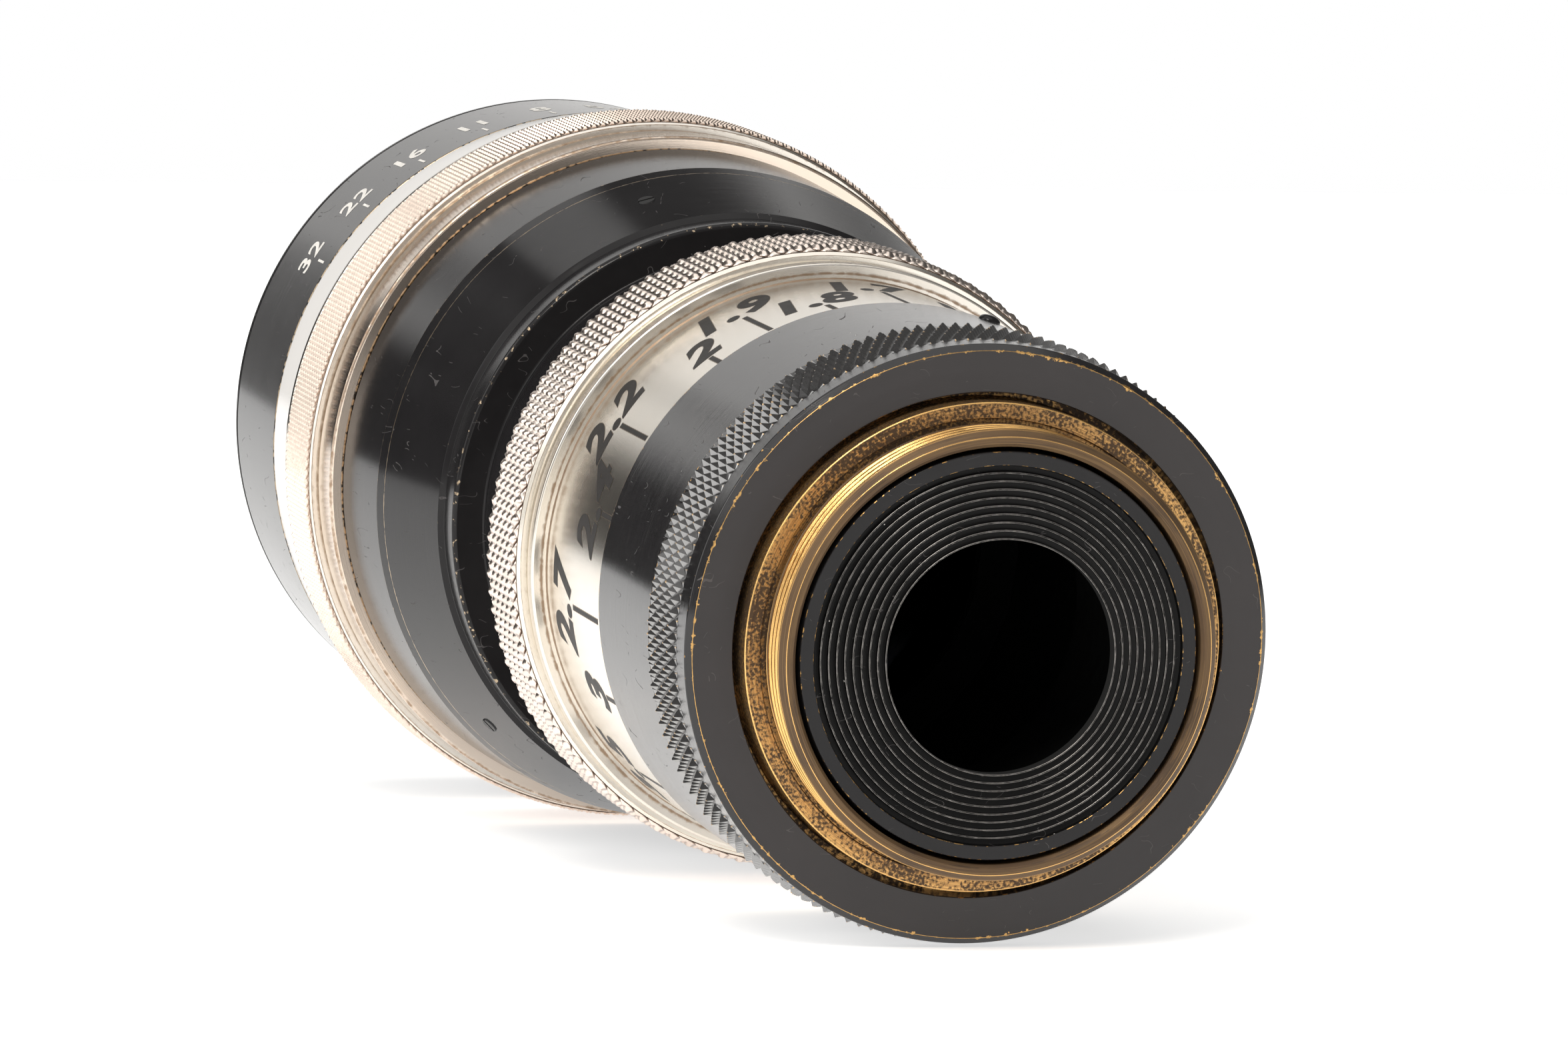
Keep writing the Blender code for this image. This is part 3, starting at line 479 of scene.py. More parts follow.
def knurl_recipe(shape: KnurlShape) -> Recipe:
    """Builds the tree that lays diamond cells round a ring.

    Args:
        shape: How each cell is cut.

    Returns:
        The tree, with the knurl's sizes as its inputs.
    """
    sizes = {"Radius": 26.0, "Rear": 4.5, "Length": 9.0, "Height": 0.5, "Tip": 0.12}
    make = Recipe(f"{shape.name.lower()}_knurl", sizes, {"Cells": 140, "Half Rows": 7})
    given = make.given
    around = make.times(given["Radius"], 2 * math.pi)
    wide = make.over(around, given["Cells"])
    tall = make.over(make.times(given["Length"], 2.0), given["Half Rows"])
    lattice = make.add("GeometryNodeJoinGeometry")
    for shift, more in ((0.0, 2.0), (0.5, 1.0)):
        rows = make.math("FLOOR", make.times(make.plus(given["Half Rows"], more), 0.5))
        size_x = make.times(wide, make.minus(given["Cells"], 1.0))
        size_y = make.times(tall, make.minus(rows, 1.0))
        grid = make.add(
            "GeometryNodeMeshGrid",
            {"Size X": size_x, "Size Y": size_y, "Vertices X": given["Cells"], "Vertices Y": rows},
        )
        middle = make.plus(make.times(size_y, 0.5), make.times(tall, shift))
        offset = make.combine(make.times(wide, shift), middle, 0.0)
        make.tree.links.new(make.moved(grid.outputs[0], Translation=offset), lattice.inputs[0])
    cone = make.add(
        "GeometryNodeMeshCone",
        {
            "Vertices": 4,
            "Side Segments": 3 if shape.smooth else 1,
            "Fill Segments": 1,
            "Radius Top": given["Tip"],
        },
    )
    x, y, _ = make.separate(make.position())
    fall = make.plus(make.size(x), make.size(y))
    height = make.minus(1.0, make.math("POWER", fall, shape.power), clamp=True)
    cell = make.placed(cone.outputs[0], Position=make.combine(x, y, height))
    worn = make.stored(cell, WEAR, make.separate(make.position())[2], "POINT")
    scale = make.combine(make.times(wide, 0.5), make.times(tall, 0.5), given["Height"])
    cell = make.moved(worn, Scale=scale)
    laid = make.add("GeometryNodeInstanceOnPoints", {"Points": lattice.outputs[0], "Instance": cell})
    shade = make.add("FunctionNodeRandomValue", {"Seed": TONE_SEED}, data_type="FLOAT")
    toned = make.stored(laid.outputs[0], TONE, shade.outputs[1], "INSTANCE")
    real = make.add("GeometryNodeRealizeInstances", {"Geometry": toned})
    x, y, z = make.separate(make.position())
    held = make.math("MINIMUM", make.math("MAXIMUM", y, 0.0), given["Length"])
    inset = make.math("MINIMUM", held, make.minus(given["Length"], held))
    level = make.times(z, make.spread(inset, -0.15, 0.6))
    place = make.combine(x, make.plus(held, given["Rear"]), level)
    trimmed = make.placed(real.outputs[0], Position=place)
    make.finish(make.wrap(trimmed, given["Radius"]), shape.smooth)
    return make


def marks_recipe() -> Recipe:
    """Builds the tree that lays flat marks on a cylinder or a cone.

    Returns:
        The tree. Its base mesh holds the marks flat, in millimetres.
    """
    make = Recipe("marks_on_a_ring", {"Radius": 25.7, "Rise": 0.0, "Stands": 0.015})
    given = make.given
    raised = make.placed(given["Geometry"], Offset=make.combine(0.0, 0.0, given["Stands"]))
    make.finish(make.wrap(raised, given["Radius"], given["Rise"]), False)
    return make


def screws_recipe() -> Recipe:
    """Builds the tree that sets slotted screw heads in a ring, looking outwards or along the axis.

    Returns:
        The tree. Turn lays the heads over: 0 looks out from the axis, and a quarter turn looks to the front.
    """
    sizes = {"Radius": 29.0, "Station": 87.0, "Head": 0.9, "Height": 0.5, "Slot": 0.3}
    sizes |= {"First": 0.0, "Turn": 0.0}
    make = Recipe("slotted_screws", sizes, {"Screws": 3})
    given = make.given
    head = make.add(
        "GeometryNodeMeshCone",
        {
            "Vertices": 32,
            "Radius Bottom": given["Head"],
            "Radius Top": make.times(given["Head"], 0.86),
            "Depth": given["Height"],
        },
    )
    cutter = make.add(
        "GeometryNodeMeshCube",
        {"Size": make.combine(given["Slot"], make.times(given["Head"], 3.0), given["Height"])},
    )
    raised = make.moved(cutter.outputs[0], Translation=make.combine(0.0, 0.0, given["Height"]))
    cut = make.add("GeometryNodeMeshBoolean", {0: head.outputs[0], 1: raised}, operation="DIFFERENCE")
    turn = make.combine(0.0, make.minus(math.pi / 2, given["Turn"]), 0.0)
    small = make.moved(make.moved(cut.outputs[0], Rotation=turn), Scale=(MM, MM, MM))
    reach = make.times(given["Radius"], MM)
    step = make.over(2 * math.pi, given["Screws"])
    around = make.times(make.add("GeometryNodeInputIndex").outputs[0], step)
    place = make.combine(
        make.times(make.math("COSINE", around), reach), make.times(make.math("SINE", around), reach), 0.0
    )
    ring = make.add("GeometryNodePoints", {"Count": given["Screws"], "Position": place}).outputs[0]
    spin = make.combine(0.0, 0.0, around)
    heads = make.add("GeometryNodeInstanceOnPoints", {"Points": ring, "Instance": small, "Rotation": spin})
    tipped = make.moved(heads.outputs[0], Rotation=(math.pi / 2, 0.0, 0.0))
    first = make.moved(tipped, Rotation=make.combine(0.0, make.times(given["First"], -1.0), 0.0))
    forward = make.combine(0.0, make.times(given["Station"], -MM), 0.0)
    make.finish(make.moved(first, Translation=forward), False)
    return make


def thread_recipe() -> Recipe:
    """Builds the tree that cuts a real helix into a plain turned stub.

    Returns:
        The tree. Its base mesh is the stub.
    """
    sizes = {"Crest": 19.5, "Depth": 0.55, "Pitch": 0.977, "Rear": -4.6, "Front": -0.9}
    make = Recipe("camera_thread", sizes)
    given = make.given
    x, y, z = make.separate(make.position())
    station = make.times(y, -1 / MM)
    reach = make.math("SQRT", make.plus(make.times(x, x), make.times(z, z)))
    turn = make.over(make.math("ARCTAN2", z, x), 2 * math.pi)
    phase = make.math("FRACT", make.minus(make.over(station, given["Pitch"]), turn))
    wave = make.size(make.minus(make.times(phase, 2.0), 1.0))
    groove = make.spread(wave, 0.25, 0.9)
    lead_in = make.spread(make.minus(station, given["Rear"]), 0.0, 0.5)
    run_out = make.spread(make.minus(given["Front"], station), -0.2, 0.3)
    depth = make.times(make.times(groove, lead_in), make.times(run_out, given["Depth"]))
    outer = make.math("GREATER_THAN", reach, make.times(make.minus(given["Crest"], 0.1), MM))
    depth = make.times(depth, outer)
    share = make.minus(1.0, make.over(make.times(depth, MM), reach))
    place = make.combine(make.times(x, share), y, make.times(z, share))
    # 1 on the rubbed crests, 0 in the roots, where the brass finish paints shade
    rubbed = make.times(outer, make.minus(1.0, groove))
    threaded = make.math("GREATER_THAN", make.times(lead_in, outer), 0.5)
    worn = make.stored(given["Geometry"], WEAR, rubbed, "POINT", Selection=threaded)
    cut = make.placed(worn, Position=place)
    real = make.add("GeometryNodeRealizeInstances", {"Geometry": cut})
    dressed = make.add("GeometryNodeSetMaterial", {"Geometry": real.outputs[0], "Material": given["Finish"]})
    make.add("NodeGroupOutput", {0: dressed.outputs[0]})
    return make


# ---------------------------------------------------------------- marks


@dataclass(frozen=True)
class Figure:
    """A number on a ring: its text, where its middle is, and its size, in degrees and millimetres."""

    text: str
    angle: float
    station: float
    height: float
    width: float = 1.0  # of the letterform, against its height
    slant: float = 0.22


def flat_text(figure: Figure, radius: float, bold: float) -> bmesh.types.BMesh:
    """Lays one number out flat, as an arc of the ring unrolled.

    Args:
        figure: The number.
        radius: Radius of the ring that it goes on.
        bold: How far its strokes are thickened, in millimetres.

    Returns:
        Its faces, cut into narrow strips that follow the ring when rolled.
    """
    curve = bpy.data.curves.new("figure", "FONT")
    curve.body = figure.text
    curve.shear = figure.slant
    curve.offset = bold / figure.height * CAP
    curve.space_character = 1.06
    curve.resolution_u = 5
    holder = put("figure", curve)
    mesh = bpy.data.meshes.new_from_object(holder.evaluated_get(bpy.context.evaluated_depsgraph_get()))
    bpy.data.objects.remove(holder)
    work = bmesh.new()
    work.from_mesh(mesh)
    bpy.data.meshes.remove(mesh)
    lows = [min(v.co[axis] for v in work.verts) for axis in (0, 1)]
    highs = [max(v.co[axis] for v in work.verts) for axis in (0, 1)]
    scale = figure.height / CAP
    middle_x, middle_y = (lows[0] + highs[0]) / 2, CAP / 2
    arc = math.radians(figure.angle) * radius
    for vertex in work.verts:
        vertex.co.x = (vertex.co.x - middle_x) * scale * figure.width + arc
        vertex.co.y = (vertex.co.y - middle_y) * scale + figure.station
        vertex.co.z = 0.0
    half = (highs[0] - lows[0]) * scale * figure.width / 2
    for step in range(1, int(2 * half / STRIP) + 1):
        cut = (arc - half + step * STRIP, 0.0, 0.0)
        everything = work.verts[:] + work.edges[:] + work.faces[:]
        bmesh.ops.bisect_plane(work, geom=everything, plane_co=cut, plane_no=(1, 0, 0))
    return work


def flat_marks(
    figures: list[Figure],
    ticks: list[tuple[float, float, float, float]],
    radius: float,
    bold: float,
    spare: float,
) -> Mesh:
    """Lays numbers and ticks out flat on one mesh.

    Args:
        figures: The numbers.
        ticks: For each tick its angle, first and last station, and width.
        radius: Radius of the ring that they go on.
        bold: How far the strokes are thickened.
        spare: How far every edge is moved outwards, for the rim of an engraving.

    Returns:
        The mesh.
    """
    whole = bmesh.new()
    for figure in figures:
        work = flat_text(figure, radius, bold + spare)
        mesh = bpy.data.meshes.new("figure")
        work.to_mesh(mesh)
        work.free()
        whole.from_mesh(mesh)
        bpy.data.meshes.remove(mesh)
    for angle, rear, front, width in ticks:
        arc = math.radians(angle) * radius
        half = width / 2 + spare
        left, right, low, high = arc - half, arc + half, rear - spare, front + spare
        corners = ((left, low), (right, low), (right, high), (left, high))
        whole.faces.new([whole.verts.new((x, y, 0.0)) for x, y in corners])
    for face in whole.faces:
        face.normal_update()
        if face.normal.z < 0:
            face.normal_flip()
    mesh = bpy.data.meshes.new("marks")
    whole.to_mesh(mesh)
    whole.free()
    return mesh


# ---------------------------------------------------------------- finishes


class Shader(NodeMaker):
    """One material, with a Principled shader ready and helpers for the patterns of turned metal."""

    def __init__(self, name: str, **sockets: Value) -> None:
        """Makes the material.

        Args:
            name: Name of the material.
            sockets: Values for the shader's sockets, with underscores for spaces.
        """
        self.material = bpy.data.materials.new(name)
        self.material.use_nodes = True
        super().__init__(self.material.node_tree)
        self.tree.nodes.clear()
        given = {key.replace("_", " "): value for key, value in sockets.items()}
        self.surface = self.add("ShaderNodeBsdfPrincipled", given)
        self.add("ShaderNodeOutputMaterial", {"Surface": self.surface.outputs[0]})
        self.where = self.add("ShaderNodeTexCoord").outputs["Object"]

    def set(self, socket: str, value: Socket) -> None:
        """Links a value to one of the shader's sockets."""
        self.tree.links.new(value, self.surface.inputs[socket])

    def lathe(self, streak: float, fine: float) -> Socket:
        """Makes coordinates whose patterns run round the axis.

        Args:
            streak: How fast a pattern changes round the ring.
            fine: How fast it changes across the ring, per millimetre.

        Returns:
            The coordinates.
        """
        x, y, z = self.separate(self.vector("MULTIPLY", self.where, (1 / MM, 1 / MM, 1 / MM)))
        flat = self.combine(x, 0.0, z)
        reach = self.length(flat)
        ray_x, _, ray_z = self.separate(self.vector("NORMALIZE", flat))
        across = self.plus(self.times(y, -1.0), reach)
        return self.combine(
            self.times(ray_x, streak), self.times(across, fine), self.times(ray_z, streak)
        )

    def noise(self, where: Value, scale: float, detail: float = 3.0, rough: float = 0.55) -> Socket:
        """Returns a noise value, about 0 to 1."""
        given = {"Vector": where, "Scale": scale, "Detail": detail, "Roughness": rough}
        return self.add("ShaderNodeTexNoise", given).outputs[0]

    def blend(self, share: Value, first: Value, second: Value) -> Socket:
        """Mixes two colours.

        Args:
            share: How much of the second there is, from 0 to 1.
            first: A colour or socket.
            second: A colour or socket.

        Returns:
            The colour between them.
        """
        node = self.add("ShaderNodeMix", {"Factor": share}, data_type="RGBA")
        for key, value in ((6, first), (7, second)):
            if isinstance(value, Socket):
                self.tree.links.new(value, node.inputs[key])
            else:
                node.inputs[key].default_value = (*value, 1.0)
        return node.outputs[2]

    def between(self, share: Value, low: Value, high: Value) -> Socket:
        """Returns a number between two, as numbers or sockets."""
        return self.add("ShaderNodeMix", {0: share, 2: low, 3: high}, data_type="FLOAT").outputs[0]

    def attribute(self, name: str) -> Socket:
        """Returns a value stored on the mesh."""
        return self.add("ShaderNodeAttribute", attribute_name=name).outputs["Fac"]

    def specks(self, spacing: float, size: float, share: float) -> Socket:
        """Makes a mask of small scattered specks.

        Args:
            spacing: Millimetres between places where a speck may lie.
            size: A speck's width, against that spacing.
            share: The share of those places that have one.

        Returns:
            The mask.
        """
        given = {"Vector": self.where, "Scale": 1 / (spacing * MM), "Randomness": 1.0}
        cells = self.add("ShaderNodeTexVoronoi", given)
        luck, other, _ = self.add("ShaderNodeSeparateColor", {0: cells.outputs["Color"]}).outputs
        width = self.times(other, size)
        near = self.math("LESS_THAN", cells.outputs["Distance"], width)
        return self.times(near, self.math("LESS_THAN", luck, share))

    def scratches(self, scale: float, width: float) -> Socket:
        """Makes a mask of a few thin wandering scratches.

        Args:
            scale: How closely they wander.
            width: How wide they are.

        Returns:
            The mask.
        """
        field_of = self.noise(self.vector("MULTIPLY", self.where, (1.0, 0.35, 1.6)), scale, 1.0)
        line = self.math("LESS_THAN", self.size(self.minus(field_of, 0.5)), width)
        patch = self.math("GREATER_THAN", self.noise(self.where, scale * 1.7, 2.0), 0.6)
        return self.times(line, patch)

    def bump(self, height: Value, depth: float, strength: float = 1.0) -> None:
        """Raises the surface by a height field, in millimetres."""
        node = self.add("ShaderNodeBump", {"Height": height, "Distance": depth * MM, "Strength": strength})
        self.set("Normal", node.outputs[0])


@dataclass(frozen=True)
class Lacquer:
    """Black lacquer over brass, with turning lines, dust, scratches and edges rubbed through."""

    name: str
    colour: tuple[float, float, float] = (0.010, 0.0095, 0.010)
    rough: float = 0.16
    lines: float = 0.5
    wear: float = 0.55
    dust: float = 0.06
    bare: tuple[float, float, float] = (0.55, 0.33, 0.12)
    shine: float = 0.5

    def build(self) -> Material:
        """Returns the material."""
        make = Shader(self.name, Specular_IOR_Level=self.shine, IOR=1.5)
        ring = make.noise(make.lathe(0.7, 7.0), 1.0, 4.0, 0.65)
        cloud = make.noise(make.where, 260.0, 3.0)
        chips = make.noise(make.where, 1900.0, 3.0, 0.6)
        limit = make.minus(1.15, make.times(make.attribute(WEAR), self.wear))
        bare = make.spread(make.minus(chips, limit), -0.35, -0.28)
        dust = make.specks(1.5, 0.05, self.dust)
        lined = make.scratches(330.0, 0.0035)
        dull = make.blend(cloud, self.colour, tuple(c * 1.7 for c in self.colour))
        colour = make.blend(make.times(lined, 0.35), dull, (0.16, 0.15, 0.15))
        colour = make.blend(bare, colour, self.bare)
        make.set("Base Color", make.blend(dust, colour, (0.55, 0.53, 0.5)))
        rough = make.between(ring, self.rough * 0.75, self.rough * 1.35)
        rough = make.between(make.math("MAXIMUM", dust, lined), rough, 0.7)
        make.set("Roughness", make.between(bare, rough, 0.32))
        make.set("Metallic", bare)
        raised = make.plus(make.times(ring, self.lines), make.times(dust, 2.0))
        make.bump(make.minus(raised, make.times(bare, 0.8)), 0.012)
        return make.material


@dataclass(frozen=True)
class Brass:
    """Old brass: bright where it is rubbed, brown and mottled elsewhere, with fine turning lines."""

    name: str
    bright: tuple[float, float, float] = (0.86, 0.52, 0.19)
    aged: tuple[float, float, float] = (0.34, 0.19, 0.08)
    # dark brown of the stains, also the colour of the painted shade in the thread roots
    stain: tuple[float, float, float] = (0.045, 0.028, 0.018)
    stipple: float = 0.0  # how much of the surface is broken into spots
    cover: float = 0.45  # how much of it is stained
    painted_root_shade: float = 0.0  # painted shade: how dark it stays where nothing rubs it, as in the roots of a thread

    def build(self) -> Material:
        """Returns the material."""
        make = Shader(self.name, Specular_IOR_Level=0.5)
        ring = make.noise(make.lathe(1.6, 12.0), 1.0, 5.0, 0.7)
        arcs = make.noise(make.lathe(2.2, 9.0), 1.0, 4.0, 0.7)
        spots = make.noise(make.where, 3400.0, 2.0, 0.5)
        drift = make.noise(make.where, 150.0, 2.0)
        broken = make.between(self.stipple, arcs, spots)
        mixed = make.plus(make.times(broken, 0.6), make.times(drift, 0.4))
        stained = make.spread(mixed, 0.62 - self.cover * 0.35, 0.50 - self.cover * 0.35)
        rubbed = make.spread(make.plus(make.attribute(WEAR), make.times(arcs, 0.5)), 0.55, 0.95)
        body = make.blend(make.spread(ring, 0.35, 0.65), self.aged, self.bright)
        dark = make.times(make.minus(1.0, stained), make.minus(1.0, rubbed))
        # painted shade: the brass darkens where the wear attribute is low, as in the roots of the thread
        painted_shade = make.times(make.spread(make.attribute(WEAR), 0.55, 0.2), self.painted_root_shade)
        dark = make.times(make.math("MAXIMUM", dark, painted_shade), 0.94)
        colour = make.blend(rubbed, make.blend(0.25, body, self.aged), self.bright)
        colour = make.blend(dark, colour, self.stain)
        dust = make.specks(1.3, 0.05, 0.07)
        make.set("Base Color", make.blend(dust, colour, (0.7, 0.62, 0.5)))
        make.set("Metallic", make.minus(1.0, make.math("MAXIMUM", make.times(dark, 0.6), dust)))
        make.set("Roughness", make.between(rubbed, make.between(dark, 0.36, 0.55), 0.24))
        make.bump(make.plus(ring, make.times(dark, -0.6)), 0.02)
        return make.material


@dataclass(frozen=True)
class Nickel:
    """Plated nickel with brushing round the axis and brown stain where the edges collect dirt."""

    name: str
    colour: tuple[float, float, float] = (0.80, 0.765, 0.71)
    stain: tuple[float, float, float] = (0.26, 0.16, 0.09)
    rough: float = 0.24
    brushed: float = 0.4
    stained: float = 0.0  # 1 stains the whole surface

    def build(self) -> Material:
        """Returns the material."""
        make = Shader(self.name, Metallic=1.0)
        ring = make.noise(make.lathe(0.6, 14.0), 1.0, 5.0, 0.75)
        cloud = make.noise(make.where, 170.0, 3.0)
        spots = make.noise(make.where, 1500.0, 3.0, 0.6)
        dirt = make.plus(make.attribute(WEAR), make.times(make.minus(spots, 0.5), 0.9))
        dirt = make.spread(make.plus(dirt, self.stained), 0.35, 0.85)
        tint = make.blend(cloud, self.colour, tuple(c * k for c, k in zip(self.colour, (0.93, 0.9, 0.86))))
        fleck = make.specks(1.7, 0.035, 0.12)
        colour = make.blend(make.times(dirt, 0.85), tint, self.stain)
        make.set("Base Color", make.blend(fleck, colour, (0.12, 0.1, 0.09)))
        rough = make.between(ring, self.rough * 0.8, self.rough * 1.3)
        make.set("Roughness", make.between(dirt, rough, 0.42))
        make.bump(ring, 0.004 * self.brushed)
        return make.material


@dataclass(frozen=True)
class KnurledNickel:
    """Nickel cells of a knurl: bright crests, warm dirt and painted shade in the grooves and a tone for each
    cell.
    """

    name: str
    crest: tuple[float, float, float] = (0.88, 0.77, 0.69)
    groove: tuple[float, float, float] = (0.27, 0.17, 0.12)
    rough: float = 0.26

    def build(self) -> Material:
        """Returns the material."""
        make = Shader(self.name, Metallic=1.0)
        grain = make.noise(make.where, 2600.0, 2.0)
        level = make.plus(make.attribute(WEAR), make.times(make.minus(grain, 0.5), 0.35))
        # painted shade with the dirt: the colour falls to the dark groove colour towards the foot of each
        # cell
        lit = make.spread(level, 0.02, 0.42)
        colour = make.blend(lit, self.groove, self.crest)
        tone = make.times(make.attribute(TONE), 0.22)
        make.set("Base Color", make.blend(tone, colour, (0.42, 0.34, 0.29)))
        make.set("Roughness", make.between(lit, 0.5, self.rough))
        make.bump(grain, 0.004)
        return make.material


@dataclass(frozen=True)
class KnurledBlack:
    """Black lacquered pyramids, rubbed to brass on some crests."""

    name: str
    colour: tuple[float, float, float] = (0.012, 0.011, 0.011)
    bare: tuple[float, float, float] = (0.72, 0.5, 0.27)

    def build(self) -> Material:
        """Returns the material."""
        make = Shader(self.name, Specular_IOR_Level=1.0, IOR=2.2)
        grain = make.noise(make.where, 1200.0, 3.0)
        drift = make.noise(make.where, 190.0, 2.0)
        crest = make.plus(make.attribute(WEAR), make.times(make.minus(grain, 0.5), 0.5))
        crest = make.plus(crest, make.times(make.minus(drift, 0.5), 0.5))
        bare = make.spread(crest, 0.84, 1.0)
        make.set("Base Color", make.blend(bare, self.colour, self.bare))
        make.set("Metallic", bare)
        make.set("Roughness", make.between(bare, 0.2, 0.35))
        make.bump(grain, 0.006)
        return make.material


@dataclass(frozen=True)
class Plain:
    """A simple finish with a fine grain: ink, blackened metal inside the lens, steel."""

    name: str
    colour: tuple[float, float, float]
    rough: float = 0.5
    metal: float = 0.0
    grain: float = 900.0
    dust: float = 0.0

    def build(self) -> Material:
        """Returns the material."""
        make = Shader(self.name, Metallic=self.metal)
        cloud = make.noise(make.where, self.grain, 3.0)
        dark, light = (tuple(min(1.0, part * share) for part in self.colour) for share in (0.8, 1.2))
        colour = make.blend(cloud, dark, light)
        if self.dust:
            colour = make.blend(make.specks(1.0, 0.06, self.dust), colour, (0.6, 0.57, 0.52))
        make.set("Base Color", colour)
        make.set("Roughness", make.between(cloud, self.rough * 0.85, min(1.0, self.rough * 1.15)))
        make.bump(cloud, 0.008)
        return make.material


@dataclass(frozen=True)
class CoatedGlass:
    """Optical glass with a thin coating."""

    name: str
    tint: tuple[float, float, float] = (0.97, 0.985, 0.975)
    film: float = 125.0  # nanometres

    def build(self) -> Material:
        """Returns the material."""
        make = Shader(
            self.name,
            Base_Color=(*self.tint, 1.0),
            Transmission_Weight=1.0,
            IOR=1.52,
            Thin_Film_Thickness=self.film,
            Thin_Film_IOR=1.38,
        )
        smear = make.noise(make.where, 120.0, 2.0)
        make.set("Roughness", make.between(smear, 0.0, 0.02))
        return make.material


class Finishes:
    """Every finish of the lens, made once."""

    def __init__(self) -> None:
        """Builds the materials."""
        self.brass_seat = Brass("mottled_brass", stipple=0.85, cover=0.2).build()
        self.brass_thread = Brass("worn_brass", cover=0.15, painted_root_shade=0.9).build()
        self.rear_black = Lacquer(
            "rear_satin_black", colour=(0.012, 0.0095, 0.0095), rough=0.33, lines=0.25, wear=0.68, dust=0.1
        ).build()
        self.gloss_black = Lacquer(
            "gloss_black_lacquer", rough=0.13, wear=0.7, bare=(0.42, 0.33, 0.23), shine=0.2
        ).build()
        self.band_black = Lacquer("band_black_lacquer", rough=0.1, lines=0.8, wear=0.72, dust=0.08).build()
        self.knurl_black = KnurledBlack("knurled_black_lacquer").build()
        self.baffle_black = Lacquer(
            "baffle_black",
            colour=(0.003, 0.003, 0.003),
            rough=0.38,
            lines=0.2,
            wear=0.66,
            dust=0.25,
            bare=(0.3, 0.285, 0.27),
            shine=0.12,
        ).build()
        self.land_black = Lacquer(
            "sleeve_land_black",
            colour=(0.008, 0.0075, 0.008),
            rough=0.42,
            lines=0.4,
            wear=0.55,
            dust=0.12,
            shine=0.3,
        ).build()
        self.scale_nickel = Nickel("brushed_scale_nickel", colour=(0.84, 0.80, 0.73), rough=0.2).build()
        self.edge_nickel = Nickel("stained_bead_nickel", stained=0.1, rough=0.22).build()
        self.trim_nickel = Nickel(
            "polished_trim_nickel", colour=(0.74, 0.64, 0.55), rough=0.13, brushed=0.6
        ).build()
        self.bevel_nickel = Nickel(
            "polished_bevel_nickel", colour=(0.82, 0.79, 0.75), rough=0.1, brushed=0.4
        ).build()
        self.grip_nickel = KnurledNickel("grip_knurl_nickel").build()
        self.aperture_nickel = KnurledNickel(
            "aperture_knurl_nickel", crest=(0.84, 0.71, 0.61), groove=(0.34, 0.22, 0.15)
        ).build()
        self.ink_black = Plain("black_engraving", (0.012, 0.010, 0.009), 0.55).build()
        self.ink_edge = Plain("engraving_rim", (0.30, 0.24, 0.18), 0.4, metal=1.0).build()
        self.ink_white = Plain("white_engraving", (0.78, 0.76, 0.72), 0.6).build()
        self.inner_black = Plain("blackened_metal", (0.012, 0.012, 0.012), 0.45, dust=0.05).build()
        self.deep_black = Plain("matt_black_bore", (0.004, 0.004, 0.004), 0.85).build()
        self.steel = Plain("blued_steel", (0.32, 0.31, 0.30), 0.3, metal=1.0).build()
        self.blade = Plain("blade_steel", (0.10, 0.105, 0.12), 0.32, metal=1.0, grain=300.0).build()
        self.brass_inner = Brass("inner_brass", cover=0.2).build()
        self.glass = CoatedGlass("coated_glass").build()
        self.front_glass = CoatedGlass("violet_coated_glass", tint=(0.93, 0.95, 0.97), film=155.0).build()
        self.rear_glass = CoatedGlass("smoked_rear_glass", tint=(0.05, 0.05, 0.06), film=155.0).build()


@dataclass
class Workshop:
    """The finishes and the trees that every sub-assembly shares."""

    finishes: Finishes = field(default_factory=Finishes)
    pyramids: Recipe = field(default_factory=lambda: knurl_recipe(KnurlShape.PYRAMID))
    beads: Recipe = field(default_factory=lambda: knurl_recipe(KnurlShape.BEAD))
    marks: Recipe = field(default_factory=marks_recipe)
    screws: Recipe = field(default_factory=screws_recipe)
    thread: Recipe = field(default_factory=thread_recipe)


def hand_over(piece: Object, body: str, slot: str, *nodes: str) -> None:
    """Gives a finished piece to its moving body.

    Args:
        piece: The piece.
        body: The body that carries it.
        slot: Not used.
        nodes: The frame's nodes that the piece stands for.
    """
    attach(piece, body)
    if nodes:
        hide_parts(*nodes)
    piece.data.calc_loop_triangles()
    log.info("%s on %s: %d triangles", piece.name, body, len(piece.data.loop_triangles))


def dress(node: str, finish: Material) -> None:
    """Gives a finish to a node of the frame that stays as it is.

    Args:
        node: The node.
        finish: Its material.
    """
    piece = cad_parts[node]
    for slot in piece.material_slots:
        slot.material = finish
    log.info("%s keeps its shape", node)


# ---------------------------------------------------------------- sub-assemblies


@dataclass
class Assembly:
    """What every sub-assembly has: the workshop, the body that carries it, and ways to hand pieces over."""

    shop: Workshop
    body: str = ""

    @property
    def looks(self) -> Finishes:
        """The finishes."""
        return self.shop.finishes

    def turn(
        self,
        name: str,
        corners: list[Corner],
        finishes: Material | list[Material],
        slot: str,
        *nodes: str,
        around: int = ROUND,
    ) -> None:
        """Turns a piece and hands it over.

        Args:
            name: Name of the piece.
            corners: Its outline.
            finishes: Its material, or the materials that the corners number.
            slot: Passed on to hand_over, which does not use it.
            nodes: The frame's nodes that the piece stands for.
            around: Faces around the piece.
        """
        listed = finishes if isinstance(finishes, list) else [finishes]
        hand_over(turned(name, corners, listed, around), self.body, slot, *nodes)

    def repeat(
        self, recipe: Recipe, name: str, slot: str, *nodes: str, base: Mesh | None = None, **values: object
    ) -> None:
        """Makes a piece of what repeats and hands it over.

        Args:
            recipe: The tree that makes it.
            name: Name of the piece.
            slot: Passed on to hand_over, which does not use it.
            nodes: The frame's nodes that the piece stands for.
            base: Mesh that the tree starts from, or None where it makes its own.
            values: The tree's inputs, with underscores for spaces.
        """
        hand_over(recipe.make(name, base, **values), self.body, slot, *nodes)


